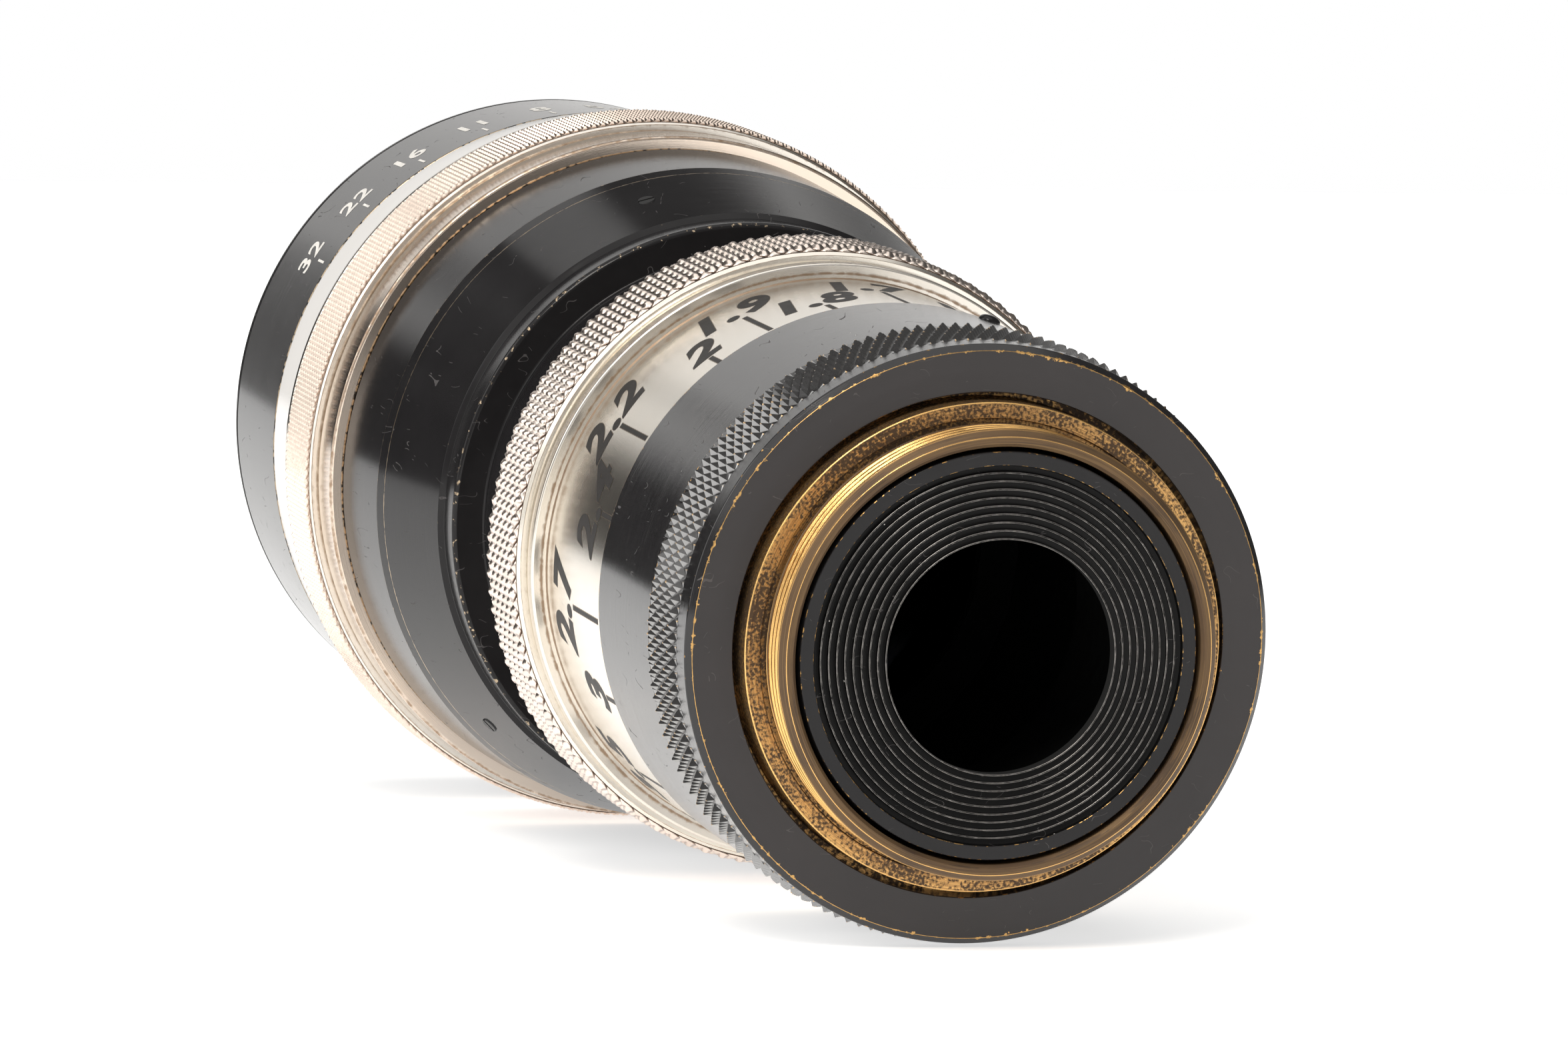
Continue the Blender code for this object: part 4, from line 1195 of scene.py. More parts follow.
@dataclass
class CameraMount(Assembly):
    """Brass camera thread and seat, lock ring, black rear band and index pin."""

    body: str = "mount_body"
    bore: float = 18.0
    rim: float = -4.908
    crest: float = 19.5
    root: float = 18.95
    seat: float = 21.2
    face: float = 1.3
    groove: float = 21.86
    lock: float = 26.5
    lock_front: float = 13.5
    knurl_rear: float = 4.5
    band: float = 25.9
    band_rear: float = 13.8
    band_front: float = 30.9
    pin_angle: float = 108.0
    pin_station: float = 28.3
    pin_rise: float = 0.55  # its height, against its radius

    def build(self) -> None:
        """Builds and hands over every piece."""
        self.thread()
        self.seat_ring()
        self.lock_ring()
        self.rear_band()
        self.index_pin()
        dress("guide_key", self.looks.steel)

    def thread(self) -> None:
        """Brass stub with its helix, worn bright at the rim."""
        first, last, step = self.rim + 0.72, -0.75, 0.075
        fine = [first + step * number for number in range(int((last - first) / step) + 1)]
        corners = [
            Corner(self.bore, self.rim + 0.35, 0.08, 0.2),
            Corner(self.bore + 0.3, self.rim, 0.08, 0.3),
            Corner(self.crest - 0.62, self.rim, 0.1, 0.8),
            Corner(self.crest - 0.05, self.rim + 0.6, 0.08, 1.0),
            *[Corner(self.crest, station, 0, 0.6) for station in fine],
            Corner(self.crest, -0.7, 0.1, 0.3),
            Corner(self.root, -0.45, 0.1),
            Corner(self.root, 0.6, 0),
            Corner(self.bore, 0.6, 0),
        ]
        blank = turned("thread_blank", corners, [self.looks.brass_thread])
        piece = self.shop.thread.make(
            "camera_thread",
            blank.data,
            Crest=self.crest,
            Rear=self.rim + 0.6,
            Finish=self.looks.brass_thread,
        )
        bpy.data.objects.remove(blank)
        exact = piece.data.attributes.get("custom_normal")
        if exact:
            piece.data.attributes.remove(exact)
        piece.data.set_sharp_from_angle(angle=math.radians(40))
        hand_over(piece, self.body, "brass", "mount_flange")

    def seat_ring(self) -> None:
        """Mottled brass seat and the shoulder that the lock ring turns on."""
        corners = outline(
            (self.bore, 0.3, 0), (self.crest + 0.3, 0.3, 0.08), (self.crest + 0.3, 0.0, 0.06, 0.3),
            (self.seat, 0.0, 0.16, 0.75), (self.seat, 4.3, 0.1), (24.0, 4.3, 0.1), (24.0, 7.3, 0.1),
            (self.bore, 7.3, 0.1),
        )
        self.turn("seat_ring", corners, self.looks.brass_seat, "brass", "mount_flange")

    def lock_ring(self) -> None:
        """Black lock ring: satin face, brass line at its edge, gloss band and sharp knurl."""
        finishes = self.looks
        plain = self.lock - 0.5
        base = plain - 0.1
        corners = outline(
            (self.groove, self.face, 0.1, 0.35), (plain - 0.55, self.face, 0.09, 1.0, 1),
            (plain, self.face + 0.55, 0.3, 0.3, 1), (plain, self.knurl_rear - 0.1, 0.08, 0.2, 1),
            (base, self.knurl_rear, 0, 0, 1), (base, self.lock_front, 0.1, 0.3, 1),
            (24.3, self.lock_front, 0.1, 0, 1), (24.3, 4.0, 0, 0, 1), (self.groove, 4.0, 0.1, 0, 1),
        )
        self.turn(
            "lock_ring_body", corners, [finishes.rear_black, finishes.band_black], "rear_black", "lock_ring"
        )
        self.repeat(
            self.shop.pyramids,
            "lock_ring_knurl",
            "rear_black",
            "lock_ring",
            Radius=plain - 0.06,
            Rear=self.knurl_rear,
            Length=self.lock_front - self.knurl_rear,
            Height=0.62,
            Tip=0.1,
            Cells=146,
            Half_Rows=7,
            Finish=finishes.knurl_black,
        )

    def rear_band(self) -> None:
        """Gloss black band with a brass line along its front edge, and the fixed tube inside it."""
        corners = outline(
            (21.9, 7.6, 0.1), (24.0, 7.6, 0.1), (24.0, self.band_rear, 0.1),
            (self.band, self.band_rear, 0.12, 0.45), (self.band, self.band_front, 0.16, 1.0),
            (23.0, self.band_front, 0.1), (23.0, 45.7, 0.1), (21.9, 45.7, 0.1),
        )
        self.turn("rear_band", corners, self.looks.band_black, "black_lacquer", "rear_barrel")

    def index_pin(self) -> None:
        """Small domed index pin let into the band."""
        work = bmesh.new()
        bmesh.ops.create_uvsphere(work, u_segments=28, v_segments=14, radius=1.0)
        angle, station = math.radians(self.pin_angle), self.pin_station
        flat = Matrix.Diagonal((1.0, 1.0, self.pin_rise, 1.0))
        up = Vector((math.cos(angle), 0.0, math.sin(angle)))
        along = Vector((0.0, -1.0, 0.0))
        across = along.cross(up)
        turn = Matrix((across, along, up)).transposed().to_4x4()
        place = Matrix.Translation(up * self.band + along * station)
        work.transform(Matrix.Scale(MM, 4) @ place @ turn @ flat)
        for face in work.faces:
            face.smooth = True
        mesh = bpy.data.meshes.new("index_dot")
        work.to_mesh(mesh)
        work.free()
        mesh.materials.append(self.looks.gloss_black)
        hand_over(put("index_dot", mesh), self.body, "polished_nickel", "index_pin")


class Row(Enum):
    """The two rows of the distance scale: station of the numbers, and ends of their ticks."""

    REAR = (38.0, 31.3, 34.6)
    FRONT = (44.3, 32.0, 40.6)


@dataclass
class FocusingMount(Assembly):
    """Nickel scale sleeve with its bead rim, and the knurled focusing grip."""

    body: str = "focus_body"
    bore: float = 24.8
    scale: float = 25.7
    rear: float = 31.2
    bead_rear: float = 49.8
    bead_front: float = 51.7
    bead: float = 27.1
    grip: float = 28.5
    grip_rear: float = 52.0
    grip_front: float = 61.6
    figure_height: float = 5.5
    figure_width: float = 0.78  # of the letterform, against its height
    figure_bold: float = 0.3
    tick_width: float = 0.42
    focal_length: float = 0.125  # metres
    turn_rate: float = 405.0  # degrees for 1 per metre
    known_angle: float = 94.0  # where the 1.7 mark is
    known_reach: float = 0.6349  # 1 / (1.7 - focal_length)
    distances: tuple[tuple[str, float, Row], ...] = (
        ("1.5", 1.5, Row.FRONT),
        ("1.6", 1.6, Row.REAR),
        ("1.7", 1.7, Row.FRONT),
        ("1.8", 1.8, Row.REAR),
        ("1.9", 1.9, Row.FRONT),
        ("2", 2.0, Row.REAR),
        ("2.2", 2.2, Row.FRONT),
        ("2.4", 2.4, Row.REAR),
        ("2.7", 2.7, Row.FRONT),
        ("3", 3.0, Row.REAR),
        ("3.5", 3.5, Row.FRONT),
        ("4", 4.0, Row.REAR),
        ("5", 5.0, Row.FRONT),
        ("7", 7.0, Row.REAR),
        ("10", 10.0, Row.FRONT),
        ("20", 20.0, Row.REAR),
        ("∞", 1.0e6, Row.FRONT),
    )

    def build(self) -> None:
        """Builds and hands over every piece."""
        self.sleeve()
        self.distance_scale()
        self.grip_ring()
        self.grip_screws()
        dress("focus_helicoid", self.looks.brass_inner)

    def angle_of(self, distance: float) -> float:
        """Returns the angle of a distance mark, in degrees, for a distance in metres."""
        return self.known_angle - self.turn_rate * (self.known_reach - 1.0 / (distance - self.focal_length))

    def sleeve(self) -> None:
        """Brushed sleeve that carries the scale, with a stained bead rim."""
        finishes = self.looks
        corners = outline(
            (self.bore, self.rear, 0.05), (self.scale, self.rear, 0.1, 0.7),
            (self.scale, self.bead_rear - 0.25, 0, 0.05), (self.scale, self.bead_rear, 0.1, 1.0, 1),
            (self.scale + 0.45, self.bead_rear, 0, 0.75, 1),
            (self.scale + 0.8, self.bead_rear, 0, 0.1, 1), (self.bead, self.bead_rear, 0.5, 0.2, 1),
            (self.bead, self.bead_front, 0.5, 0.3, 1), (self.scale, self.bead_front, 0.1, 0.6, 1),
            (self.scale, self.grip_front - 0.3, 0.1), (self.bore, self.grip_front - 0.3, 0.1),
        )
        self.turn(
            "scale_sleeve_fine",
            corners,
            [finishes.scale_nickel, finishes.edge_nickel],
            "scale_nickel",
            "scale_sleeve",
        )

    def distance_scale(self) -> None:
        """Black engraved ticks and distances in two rows."""
        figures, ticks = [], []
        for text, distance, row in self.distances:
            station, tick_rear, tick_front = row.value
            angle = self.angle_of(distance)
            figures.append(Figure(text, angle, station, self.figure_height, self.figure_width))
            ticks.append((angle, tick_rear, tick_front, self.tick_width))
        finishes = self.looks
        layers = (
            ("engraving_rim", 0.07, 0.008, finishes.ink_edge),
            ("engraving", 0.0, 0.016, finishes.ink_black),
        )
        for name, spare, stands, finish in layers:
            base = flat_marks(figures, ticks, self.scale, self.figure_bold, spare)
            sizes = {"Radius": self.scale, "Stands": stands, "Finish": finish}
            self.repeat(self.shop.marks, f"distance_{name}", "scale_nickel", base=base, **sizes)

    def grip_ring(self) -> None:
        """Focusing grip with its rounded knurl."""
        finishes = self.looks
        valley = self.grip - 0.62
        corners = outline(
            (26.0, self.grip_rear, 0.05), (valley - 0.35, self.grip_rear, 0.1, 0.8),
            (valley - 0.02, self.grip_rear + 0.35, 0.1, 0.5),
            (valley - 0.02, self.grip_front - 0.35, 0.1, 0.5),
            (valley - 0.35, self.grip_front, 0.1, 0.6), (26.0, self.grip_front, 0.1),
        )
        self.turn("grip_ring_body", corners, finishes.scale_nickel, "knurled_nickel", "grip_ring")
        self.repeat(
            self.shop.beads,
            "grip_ring_knurl",
            "knurled_nickel",
            "grip_ring",
            Radius=valley,
            Rear=self.grip_rear + 0.3,
            Length=self.grip_front - self.grip_rear - 0.6,
            Height=0.62,
            Tip=0.12,
            Cells=106,
            Half_Rows=11,
            Finish=finishes.grip_nickel,
        )

    def grip_screws(self) -> None:
        """Three small slotted screws in the front face of the grip."""
        self.repeat(
            self.shop.screws,
            "grip_screw_heads",
            "steel",
            "grip_screw_1",
            "grip_screw_2",
            "grip_screw_3",
            Radius=26.9,
            Station=self.grip_front - 0.05,
            Head=0.55,
            Height=0.22,
            Slot=0.2,
            First=math.radians(30),
            Turn=math.pi / 2,
            Screws=3,
            Finish=self.looks.steel,
        )


@dataclass
class RangefinderSleeve(Assembly):
    """Sleeve inside the camera thread, closed down to a stepped black baffle."""

    body: str = "rangefinder_body"
    outer: float = 17.6
    bore: float = 16.2
    rear: float = -4.608
    front: float = 25.392
    opening: float = 10.1
    land: float = 16.35
    steps: int = 9
    drop: float = 0.9  # from the land to the edge of the opening

    def build(self) -> None:
        """Builds the sleeve with its land and its steps."""
        corners: list[Corner] = []
        pitch = (self.land - self.opening) / self.steps
        for step in range(self.steps):
            inner = self.opening + pitch * step
            share = step / self.steps
            station = self.rear - 0.6 + self.drop * share
            corners.append(Corner(inner, station, 0.05, 0.9))
            corners.append(Corner(inner + 0.13, station, 0.05, 0.9))
            corners.append(Corner(inner + 0.22, station + 0.34, 0.04))
            corners.append(Corner(inner + pitch - 0.03, station + 0.26, 0.04))
        corners += [
            Corner(self.land, self.rear + 0.3, 0.05),
            Corner(self.land + 0.05, self.rear, 0.08, 0.6, 1),
            Corner(self.outer, self.rear, 0.12, 0.5, 1),
            Corner(self.outer, self.front, 0.1, 0, 1),
            Corner(self.bore, self.front, 0.1, 0, 2),
            Corner(self.bore, self.rear + 1.7, 0.1, 0, 2),
            Corner(self.opening, self.rear + 0.8, 0.1, 0, 2),
        ]
        finishes = self.looks
        self.turn(
            "baffle_sleeve",
            corners,
            [finishes.baffle_black, finishes.land_black, finishes.deep_black],
            "baffle_black",
            "rangefinder_sleeve",
        )


@dataclass
class LensHead(Assembly):
    """Black barrel, collar and cone, the nickel trim band and the screws of the head."""

    body: str = "head_body"
    tube: float = 21.9
    barrel: float = 24.5
    barrel_rear: float = 56.76
    head_rear: float = 77.3
    collar: float = 27.5
    cone_rear: float = 80.95
    cone_front: float = 93.25
    head_front: float = 104.75
    head: float = 31.3
    trim_rear: float = 105.05
    trim_front: float = 109.85
    trim: float = 32.5

    def build(self) -> None:
        """Builds and hands over every piece."""
        self.shell()
        self.trim_band()
        self.screws()
        for node in ("head_tube", "rear_cell", "rear_spacer", "rear_retainer", "iris_plate"):
            dress(node, self.looks.deep_black)
        dress("front_tube", self.looks.inner_black)

    def on_cone(self, station: float) -> float:
        """Returns the cone's radius at a station."""
        share = (station - self.cone_rear) / (self.cone_front - self.cone_rear)
        return self.collar + 0.5 + share * (self.head - 1.0 - self.collar)

    def shell(self) -> None:
        """Black shell from the sliding barrel to the wide band of the head."""
        chipped = self.cone_front - 1.45
        corners = outline(
            (self.tube, self.barrel_rear, 0.05), (self.barrel, self.barrel_rear, 0.1),
            (self.barrel, self.head_rear, 0.25), (self.collar, self.head_rear, 0.45, 0.35),
            (self.collar, self.cone_rear - 0.45, 0.15), (self.collar + 0.5, self.cone_rear, 0.15, 0.2),
            (self.on_cone(chipped - 0.12), chipped - 0.12, 0, 0),
            (self.on_cone(chipped), chipped, 0, 0.75),
            (self.on_cone(chipped + 0.12), chipped + 0.12, 0, 0),
            (self.on_cone(self.cone_front), self.cone_front, 0.12, 0.72),
            (self.head, self.head_front, 0.2, 0.6), (29.6, self.head_front, 0.1),
            (29.6, self.cone_front, 0.1), (26.9, 86.35, 0.1), (self.tube, 86.35, 0),
        )
        self.turn(
            "head_shell_fine", corners, self.looks.gloss_black, "black_lacquer", "head_shell"
        )

    def trim_band(self) -> None:
        """Polished nickel band with dirt along both edges."""
        corners = outline(
            (29.6, self.trim_rear, 0.1, 1.0), (self.trim, self.trim_rear, 0.35, 0.7),
            (self.trim, self.trim_front, 0.35, 0.7), (29.6, self.trim_front, 0.1, 1.0),
        )
        self.turn(
            "trim_band_fine", corners, self.looks.trim_nickel, "polished_nickel", "trim_band"
        )

    def screws(self) -> None:
        """Three slotted screws let into the cone."""
        middle = (self.cone_rear + self.cone_front) / 2
        self.repeat(
            self.shop.screws,
            "head_screw_heads",
            "steel",
            "head_screw_1",
            "head_screw_2",
            "head_screw_3",
            Radius=self.on_cone(middle) - 0.2,
            Station=middle,
            Head=0.9,
            Height=0.3,
            Slot=0.25,
            First=math.radians(75),
            Turn=math.atan2(self.head - 1.0 - self.collar, self.cone_front - self.cone_rear) * -1,
            Screws=3,
            Finish=self.looks.inner_black,
        )


@dataclass
class Optics(Assembly):
    """The glasses, the front mount with its retaining ring, and the ridged black bezel."""

    body: str = "head_body"
    front_curve: float = 75.0
    doublet_curve: float = 60.0
    rear_curve: float = 60.0
    rear_doublet_curve: float = 70.0
    mount: float = 27.3
    bezel: float = 31.2
    bezel_rear: float = 149.95
    lens_front: float = 150.65
    ridges: int = 9

    def build(self) -> None:
        """Builds and hands over every piece."""
        self.glass("front_element", "front_glass", self.front_curve, 1, self.looks.front_glass)
        self.glass("front_doublet", "front_pair", self.doublet_curve, 1, self.looks.glass)
        self.glass("rear_element", "rear_glass", self.rear_curve, -1, self.looks.rear_glass)
        self.glass("rear_doublet", "rear_pair", self.rear_doublet_curve, -1, self.looks.rear_glass)
        self.front_mount()
        self.front_bezel()
        dress("front_spacer", self.looks.inner_black)

    @staticmethod
    def limits(low: Vector, high: Vector) -> tuple[float, float, float]:
        """Returns the first and last station and the radius of what lies between two corners."""
        return -high.y / MM, -low.y / MM, high.z / MM

    def glass(self, node: str, name: str, curve: float, rise: int, finish: Material) -> None:
        """Builds one glass with a true spherical face.

        Args:
            node: The frame's node that it stands for.
            name: Its own name.
            curve: Radius of its curved face.
            rise: 1 where that face looks to the front, -1 to the rear.
            finish: Its material.
        """
        rear, front, radius = self.limits(*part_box(node))
        deep = curve - math.sqrt(curve**2 - radius**2)
        if rise > 0:
            corners = [Corner(0, rear, 0), Corner(radius, rear, 0.2), *dome(radius, curve, front - deep, 1)]
        else:
            face = dome(radius, curve, rear + deep, -1)
            corners = [*reversed(face), Corner(radius, front, 0.2), Corner(0, front, 0)]
        self.turn(name, corners, finish, "optical_glass", node, around=128)

    def front_mount(self) -> None:
        """Black mount and retaining ring round the front glass."""
        rear, front, _ = self.limits(*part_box("front_lens_mount"))
        seat = -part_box("front_element")[1].y / MM - 0.3
        corners = outline(
            (21.4, rear, 0.1), (self.mount, rear, 0.1), (self.mount, front, 0.1), (25.0, front, 0.15),
            (25.0, seat, 0.05), (23.7, seat, 0.1), (23.7, rear + 1.5, 0.05), (21.4, rear + 1.5, 0.1),
        )
        self.turn(
            "front_glass_mount",
            corners,
            self.looks.inner_black,
            "inner_black",
            "front_lens_mount",
            around=160,
        )
        rear, front, radius = self.limits(*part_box("front_retainer"))
        corners = outline(
            (radius - 1.8, rear + 0.65, 0.05), (radius, rear, 0.05), (radius, front, 0.1),
            (radius - 1.5, front, 0.2), (radius - 1.8, front - 0.4, 0.1),
        )
        self.turn(
            "front_glass_retainer",
            corners,
            self.looks.inner_black,
            "inner_black",
            "front_retainer",
            around=160,
        )

    def front_bezel(self) -> None:
        """Black bezel with a screw thread in its mouth and ridges down to the glass."""
        mouth, throat = self.mount - 0.6, 24.7
        thread_rear, ridge_rear = self.lens_front - 2.5, self.bezel_rear - 8.4
        corners = outline(
            (throat, self.bezel_rear - 9.0, 0), (self.mount, self.bezel_rear - 9.0, 0),
            (self.mount, self.bezel_rear, 0.1), (self.bezel, self.bezel_rear, 0.1),
            (self.bezel, self.lens_front, 0.3, 0.85), (mouth + 0.25, self.lens_front, 0.1, 0.5),
        )
        turns = 4
        for step in range(turns):
            station = self.lens_front - 0.35 - step * (2.0 / turns)
            corners.append(Corner(mouth, station, 0.05, 0.25))
            corners.append(Corner(mouth + 0.25, station - 0.25, 0.05))
        for step in range(self.ridges):
            share = step / self.ridges
            radius = mouth - (mouth - throat) * share
            station = thread_rear - (thread_rear - ridge_rear) * share
            corners.append(Corner(radius - 0.1, station, 0.05, 0.3))
            corners.append(Corner(radius + 0.12, station - 0.25, 0.05))
        corners.append(Corner(throat, ridge_rear, 0.1))
        self.turn(
            "front_bezel_fine", corners, self.looks.gloss_black, "black_lacquer", "front_bezel"
        )


@dataclass
class ApertureControl(Assembly):
    """Knurled aperture ring, polished bevel and black ring with the stop scale."""

    body: str = "aperture_body"
    bore: float = 29.7
    ring: float = 33.7
    ring_rear: float = 110.15
    ring_front: float = 119.35
    bevel_rear: float = 119.65
    bevel_front: float = 130.35
    bevel: float = 33.4
    stops: float = 32.0
    stops_rear: float = 130.65
    stops_front: float = 149.65
    stops_end: float = 31.2
    stop_texts: tuple[str, ...] = ("2", "2.8", "4", "5.6", "8", "11", "16", "22", "32")
    stop_first: float = 132.0  # degrees
    stop_step: float = 12.5
    stop_station: float = 139.5
    stop_height: float = 3.6
    stop_tick: tuple[float, float] = (133.0, 135.6)  # first and last station

    def build(self) -> None:
        """Builds and hands over every piece."""
        self.knurled_ring()
        self.bevel_ring()
        self.stop_ring()
        self.drive_screw()
        dress("iris_cam_ring", self.looks.inner_black)
        dress("iris_drive_arm", self.looks.inner_black)

    def knurled_ring(self) -> None:
        """Fine knurled ring."""
        finishes = self.looks
        valley = self.ring - 0.42
        corners = outline(
            (self.bore, self.ring_rear, 0.1, 0.8), (valley - 0.25, self.ring_rear, 0.1, 0.9),
            (valley - 0.02, self.ring_rear + 0.25, 0.1, 0.5),
            (valley - 0.02, self.ring_front - 0.25, 0.1, 0.5),
            (valley - 0.25, self.ring_front, 0.1, 0.9), (self.bore, self.ring_front, 0.1, 0.8),
        )
        self.turn("aperture_ring_body", corners, finishes.edge_nickel, "knurled_nickel", "aperture_ring")
        self.repeat(
            self.shop.pyramids,
            "aperture_ring_knurl",
            "knurled_nickel",
            "aperture_ring",
            Radius=valley,
            Rear=self.ring_rear + 0.2,
            Length=self.ring_front - self.ring_rear - 0.4,
            Height=0.42,
            Tip=0.2,
            Cells=235,
            Half_Rows=20,
            Finish=finishes.aperture_nickel,
        )

    def bevel_ring(self) -> None:
        """Polished bevel that falls away to the front."""
        corners = outline(
            (self.bore, self.bevel_rear, 0.1, 0.8), (self.bevel, self.bevel_rear, 0.5, 0.5),
            (self.stops, self.bevel_front, 0.15, 0.6), (self.bore, self.bevel_front, 0.1),
        )
        self.turn(
            "bevel_ring_fine", corners, self.looks.bevel_nickel, "polished_nickel", "bevel_ring"
        )

    def stop_ring(self) -> None:
        """Black ring with white stop numbers and ticks."""
        finishes = self.looks
        corners = outline(
            (self.bore, self.stops_rear, 0.1), (self.stops, self.stops_rear, 0.15, 0.6),
            (self.stops_end, self.stops_front, 0.15, 0.6), (self.bore, self.stops_front, 0.1),
        )
        self.turn("stop_scale_ring", corners, finishes.gloss_black, "black_lacquer", "aperture_scale_ring")
        rise = (self.stops_end - self.stops) / (self.stops_front - self.stops_rear)
        at_zero = self.stops - rise * self.stops_rear
        figures, ticks = [], []
        for number, text in enumerate(self.stop_texts):
            angle = self.stop_first - self.stop_step * number
            figures.append(Figure(text, angle, self.stop_station, self.stop_height, 0.85, 0.0))
            ticks.append((angle, *self.stop_tick, 0.3))
        base = flat_marks(figures, ticks, at_zero, 0.12, 0.0)
        sizes = {"Radius": at_zero, "Rise": rise, "Stands": 0.015, "Finish": finishes.ink_white}
        self.repeat(self.shop.marks, "stop_engraving", "black_lacquer", base=base, **sizes)

    def drive_screw(self) -> None:
        """Slotted head of the screw that drives the iris."""
        self.repeat(
            self.shop.screws,
            "drive_screw_head",
            "steel",
            "drive_screw",
            Radius=self.ring - 0.35,
            Station=(self.ring_rear + self.ring_front) / 2,
            Head=0.95,
            Height=0.4,
            Slot=0.25,
            First=math.radians(270),
            Turn=0.0,
            Screws=1,
            Finish=self.looks.steel,
        )


@dataclass
class Iris(Assembly):
    """The iris blades, each on its own pivot."""

    blades: int = 12

    def build(self) -> None:
        """Dresses the blades, which keep their shape."""
        for number in range(1, self.blades + 1):
            dress(f"iris_blade_{number:02d}", self.looks.blade)


# ---------------------------------------------------------------- studio


@dataclass(frozen=True)
class SoftBox:
    """A bright patch of the surroundings."""

    towards: tuple[float, float, float]
    reach: float
    level: float


@dataclass(frozen=True)
class DarkBar:
    """A dark band across the surroundings, which gives the polished rings their dark streaks."""

    height: float
    half: float
    depth: float


@dataclass(frozen=True)
class Lamp:
    """An area lamp that looks at the lens."""

    name: str
    place: tuple[float, float, float]
    size: tuple[float, float]
    power: float
    tint: tuple[float, float, float]


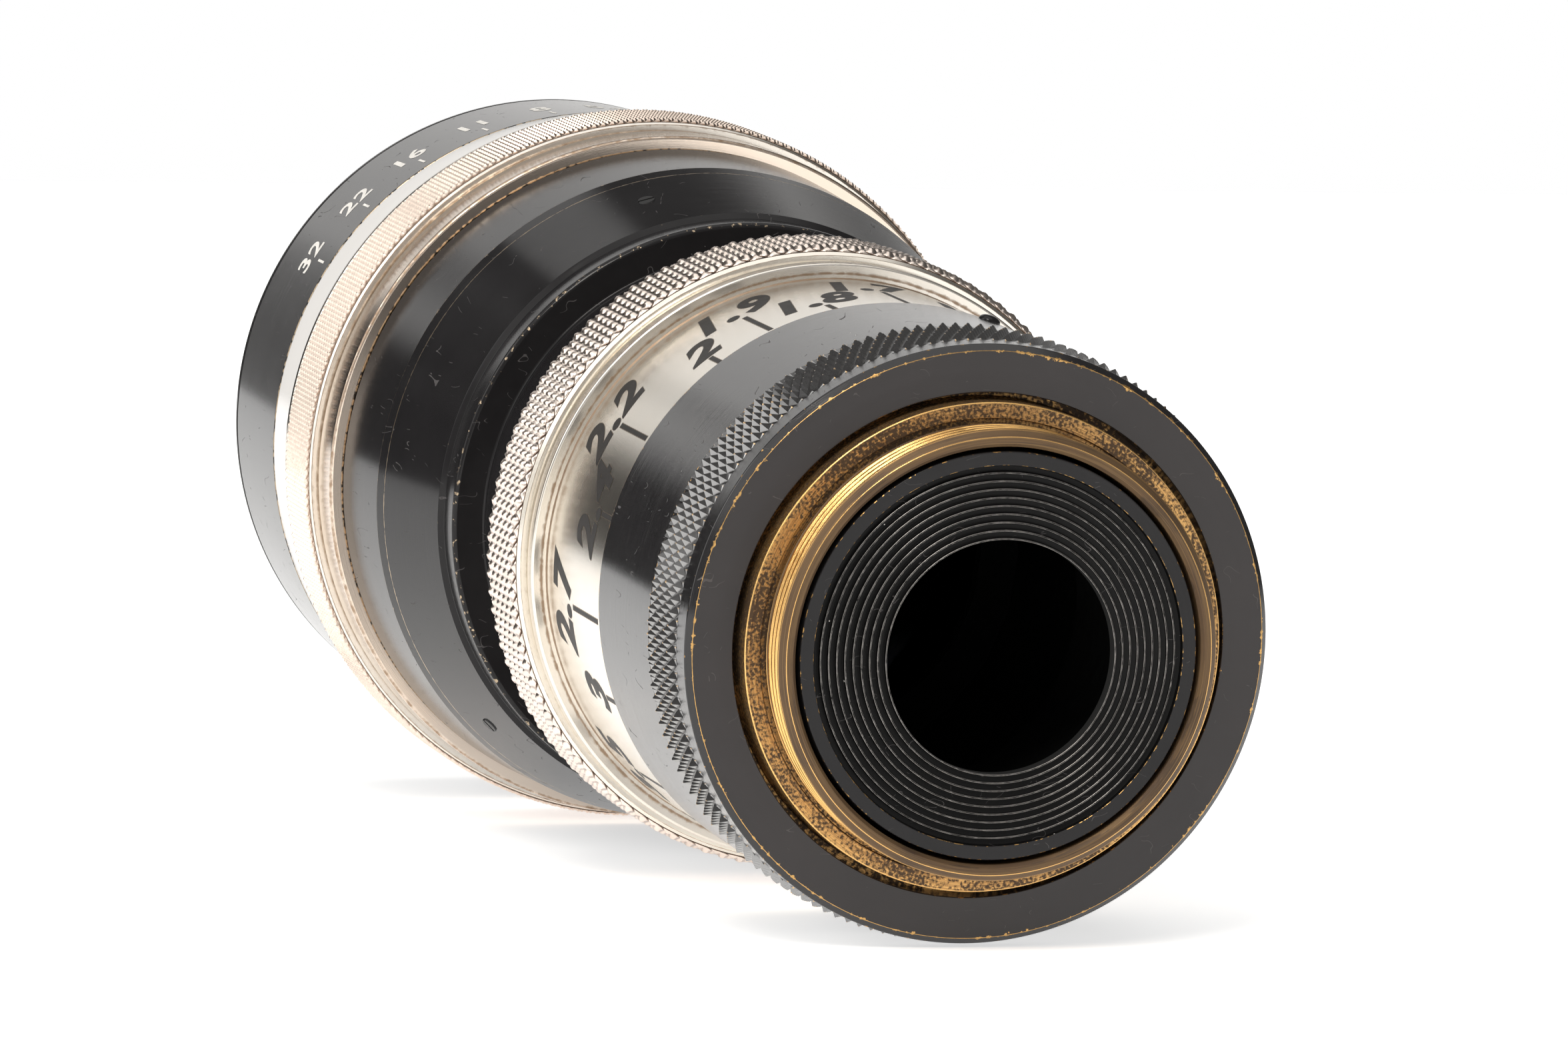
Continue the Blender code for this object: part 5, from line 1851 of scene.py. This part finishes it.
@dataclass
class Studio:
    """Pale floor, soft light and the camera."""

    floor_size: float = 3.0
    floor_rear: tuple[float, float] = (4.5, -26.52)  # station and height of the lowest point of the lock ring
    floor_fall: float = 0.0679  # the lens rests on two rings of different size
    floor_glow: float = 0.6
    soft_boxes: tuple[SoftBox, ...] = (
        SoftBox((0.18, -0.75, 0.64), 0.17, 1.0),
        SoftBox((0.75, 0.1, 0.65), 0.4, 1.3),
    )
    dark_bars: tuple[DarkBar, ...] = (DarkBar(0.03, 0.15, 0.96), DarkBar(0.275, 0.030, 0.8))
    backdrop: float = 0.85
    ceiling: float = 1.1
    lamps: tuple[Lamp, ...] = (
        Lamp("key", (0.35, 0.55, 0.75), (0.35, 0.35), 5.0, (1.0, 0.96, 0.9)),
        Lamp("left", (0.9, -0.1, 0.35), (0.5, 0.7), 2.0, (1.0, 0.98, 0.95)),
    )
    aim: tuple[float, float, float] = (0.0, -0.05, 0.0)
    camera_place: tuple[float, float, float] = (0.26583, 0.86112, 0.13548)
    camera_right: tuple[float, float, float] = (-0.96179463, 0.27094842, 0.03921793)
    camera_up: tuple[float, float, float] = (0.0, -0.14325033, 0.98968649)
    camera_back: tuple[float, float, float] = (0.27377197, 0.95187515, 0.1377774)
    lens_mm: float = 244.9
    sensor_mm: float = 36.0

    def build(self) -> None:
        """Sets up floor, light and camera."""
        self.floor()
        self.sky()
        self.lights()
        self.camera()
        view = bpy.context.scene.view_settings
        view.view_transform = "Standard"
        view.look = "None"

    def floor(self) -> None:
        """Pale floor under the two rings that the lens rests on."""
        half = self.floor_size / 2
        station, height = self.floor_rear
        corners = []
        for x, y in ((-half, -half), (half, -half), (half, half), (-half, half)):
            corners.append((x, y, height * MM + self.floor_fall * (y + station * MM)))
        mesh = bpy.data.meshes.new("floor")
        mesh.from_pydata(corners, [], [(0, 1, 2, 3)])
        make = Shader("pale_floor", Roughness=0.75, Specular_IOR_Level=0.2)
        cloud = make.noise(make.where, 9.0, 2.0)
        make.set("Base Color", make.blend(cloud, (0.90, 0.90, 0.90), (0.92, 0.92, 0.92)))
        make.surface.inputs["Emission Color"].default_value = WHITE
        make.surface.inputs["Emission Strength"].default_value = self.floor_glow
        mesh.materials.append(make.material)
        floor = put("floor", mesh)

    def sky(self) -> None:
        """Soft surroundings: bright beyond the front of the lens, dimmer on the camera's side."""
        world = bpy.data.worlds.new("studio")
        bpy.context.scene.world = world
        world.use_nodes = True
        make = NodeMaker(world.node_tree)
        world.node_tree.nodes.clear()
        way = make.add("ShaderNodeTexCoord").outputs["Generated"]
        x, y, z = make.separate(make.vector("NORMALIZE", way))
        rear = make.spread(y, -0.1, 0.6, 0.10, 0.42)
        low = make.times(make.spread(z, 0.50, 0.40), make.spread(y, -0.35, -0.6))
        backdrop = make.times(low, make.spread(make.size(x), 0.48, 0.36))
        light = make.plus(rear, make.times(backdrop, self.backdrop))
        light = make.plus(light, make.spread(z, 0.80, 0.92, 0.0, self.ceiling))
        for box in self.soft_boxes:
            far = make.length(make.vector("SUBTRACT", way, box.towards))
            light = make.plus(light, make.spread(far, box.reach, box.reach * 0.8, 0.0, box.level))
        for dark in self.dark_bars:
            near = make.size(make.minus(z, dark.height))
            bar = make.times(make.spread(near, dark.half, dark.half * 0.72), make.spread(x, 0.1, 0.17))
            bar = make.times(make.times(bar, make.spread(y, -0.7, -0.8)), dark.depth)
            light = make.times(light, make.minus(1.0, bar))
        lit = make.add("ShaderNodeBackground", {"Color": (1.0, 0.985, 0.965, 1.0), "Strength": light})
        seen = make.add("ShaderNodeBackground", {"Color": WHITE, "Strength": 1.0})
        path = make.add("ShaderNodeLightPath")
        both = make.add(
            "ShaderNodeMixShader", {0: path.outputs["Is Camera Ray"], 1: lit.outputs[0], 2: seen.outputs[0]}
        )
        make.add("ShaderNodeOutputWorld", {"Surface": both.outputs[0]})

    def lights(self) -> None:
        """Large area lamps."""
        for kind in self.lamps:
            lamp = bpy.data.lights.new(kind.name, "AREA")
            lamp.shape = "RECTANGLE"
            lamp.size, lamp.size_y = kind.size
            lamp.energy = kind.power
            lamp.color = kind.tint
            light = put(kind.name, lamp)
            light.location = kind.place
            way = Vector(self.aim) - Vector(kind.place)
            light.rotation_euler = way.to_track_quat("-Z", "Y").to_euler()

    def camera(self) -> None:
        """Long-lens camera behind the lens and a little above it."""
        data = bpy.data.cameras.new("camera")
        data.lens = self.lens_mm
        data.sensor_width = self.sensor_mm
        data.clip_start = 0.05
        camera = put("camera", data)
        turn = Matrix((self.camera_right, self.camera_up, self.camera_back)).transposed()
        camera.matrix_world = Matrix.Translation(self.camera_place) @ turn.to_4x4()
        bpy.context.scene.camera = camera


def main() -> None:
    """Builds the lens piece by piece, then the studio."""
    logging.basicConfig(level=logging.INFO, format="%(name)s: %(message)s")
    shop = Workshop()
    assemblies = (CameraMount, FocusingMount, RangefinderSleeve, LensHead, Optics, ApertureControl, Iris)
    for assembly in assemblies:
        log.info("building %s", assembly.__name__)
        assembly(shop).build()
    Studio().build()


if __name__ == "__main__":
    main()
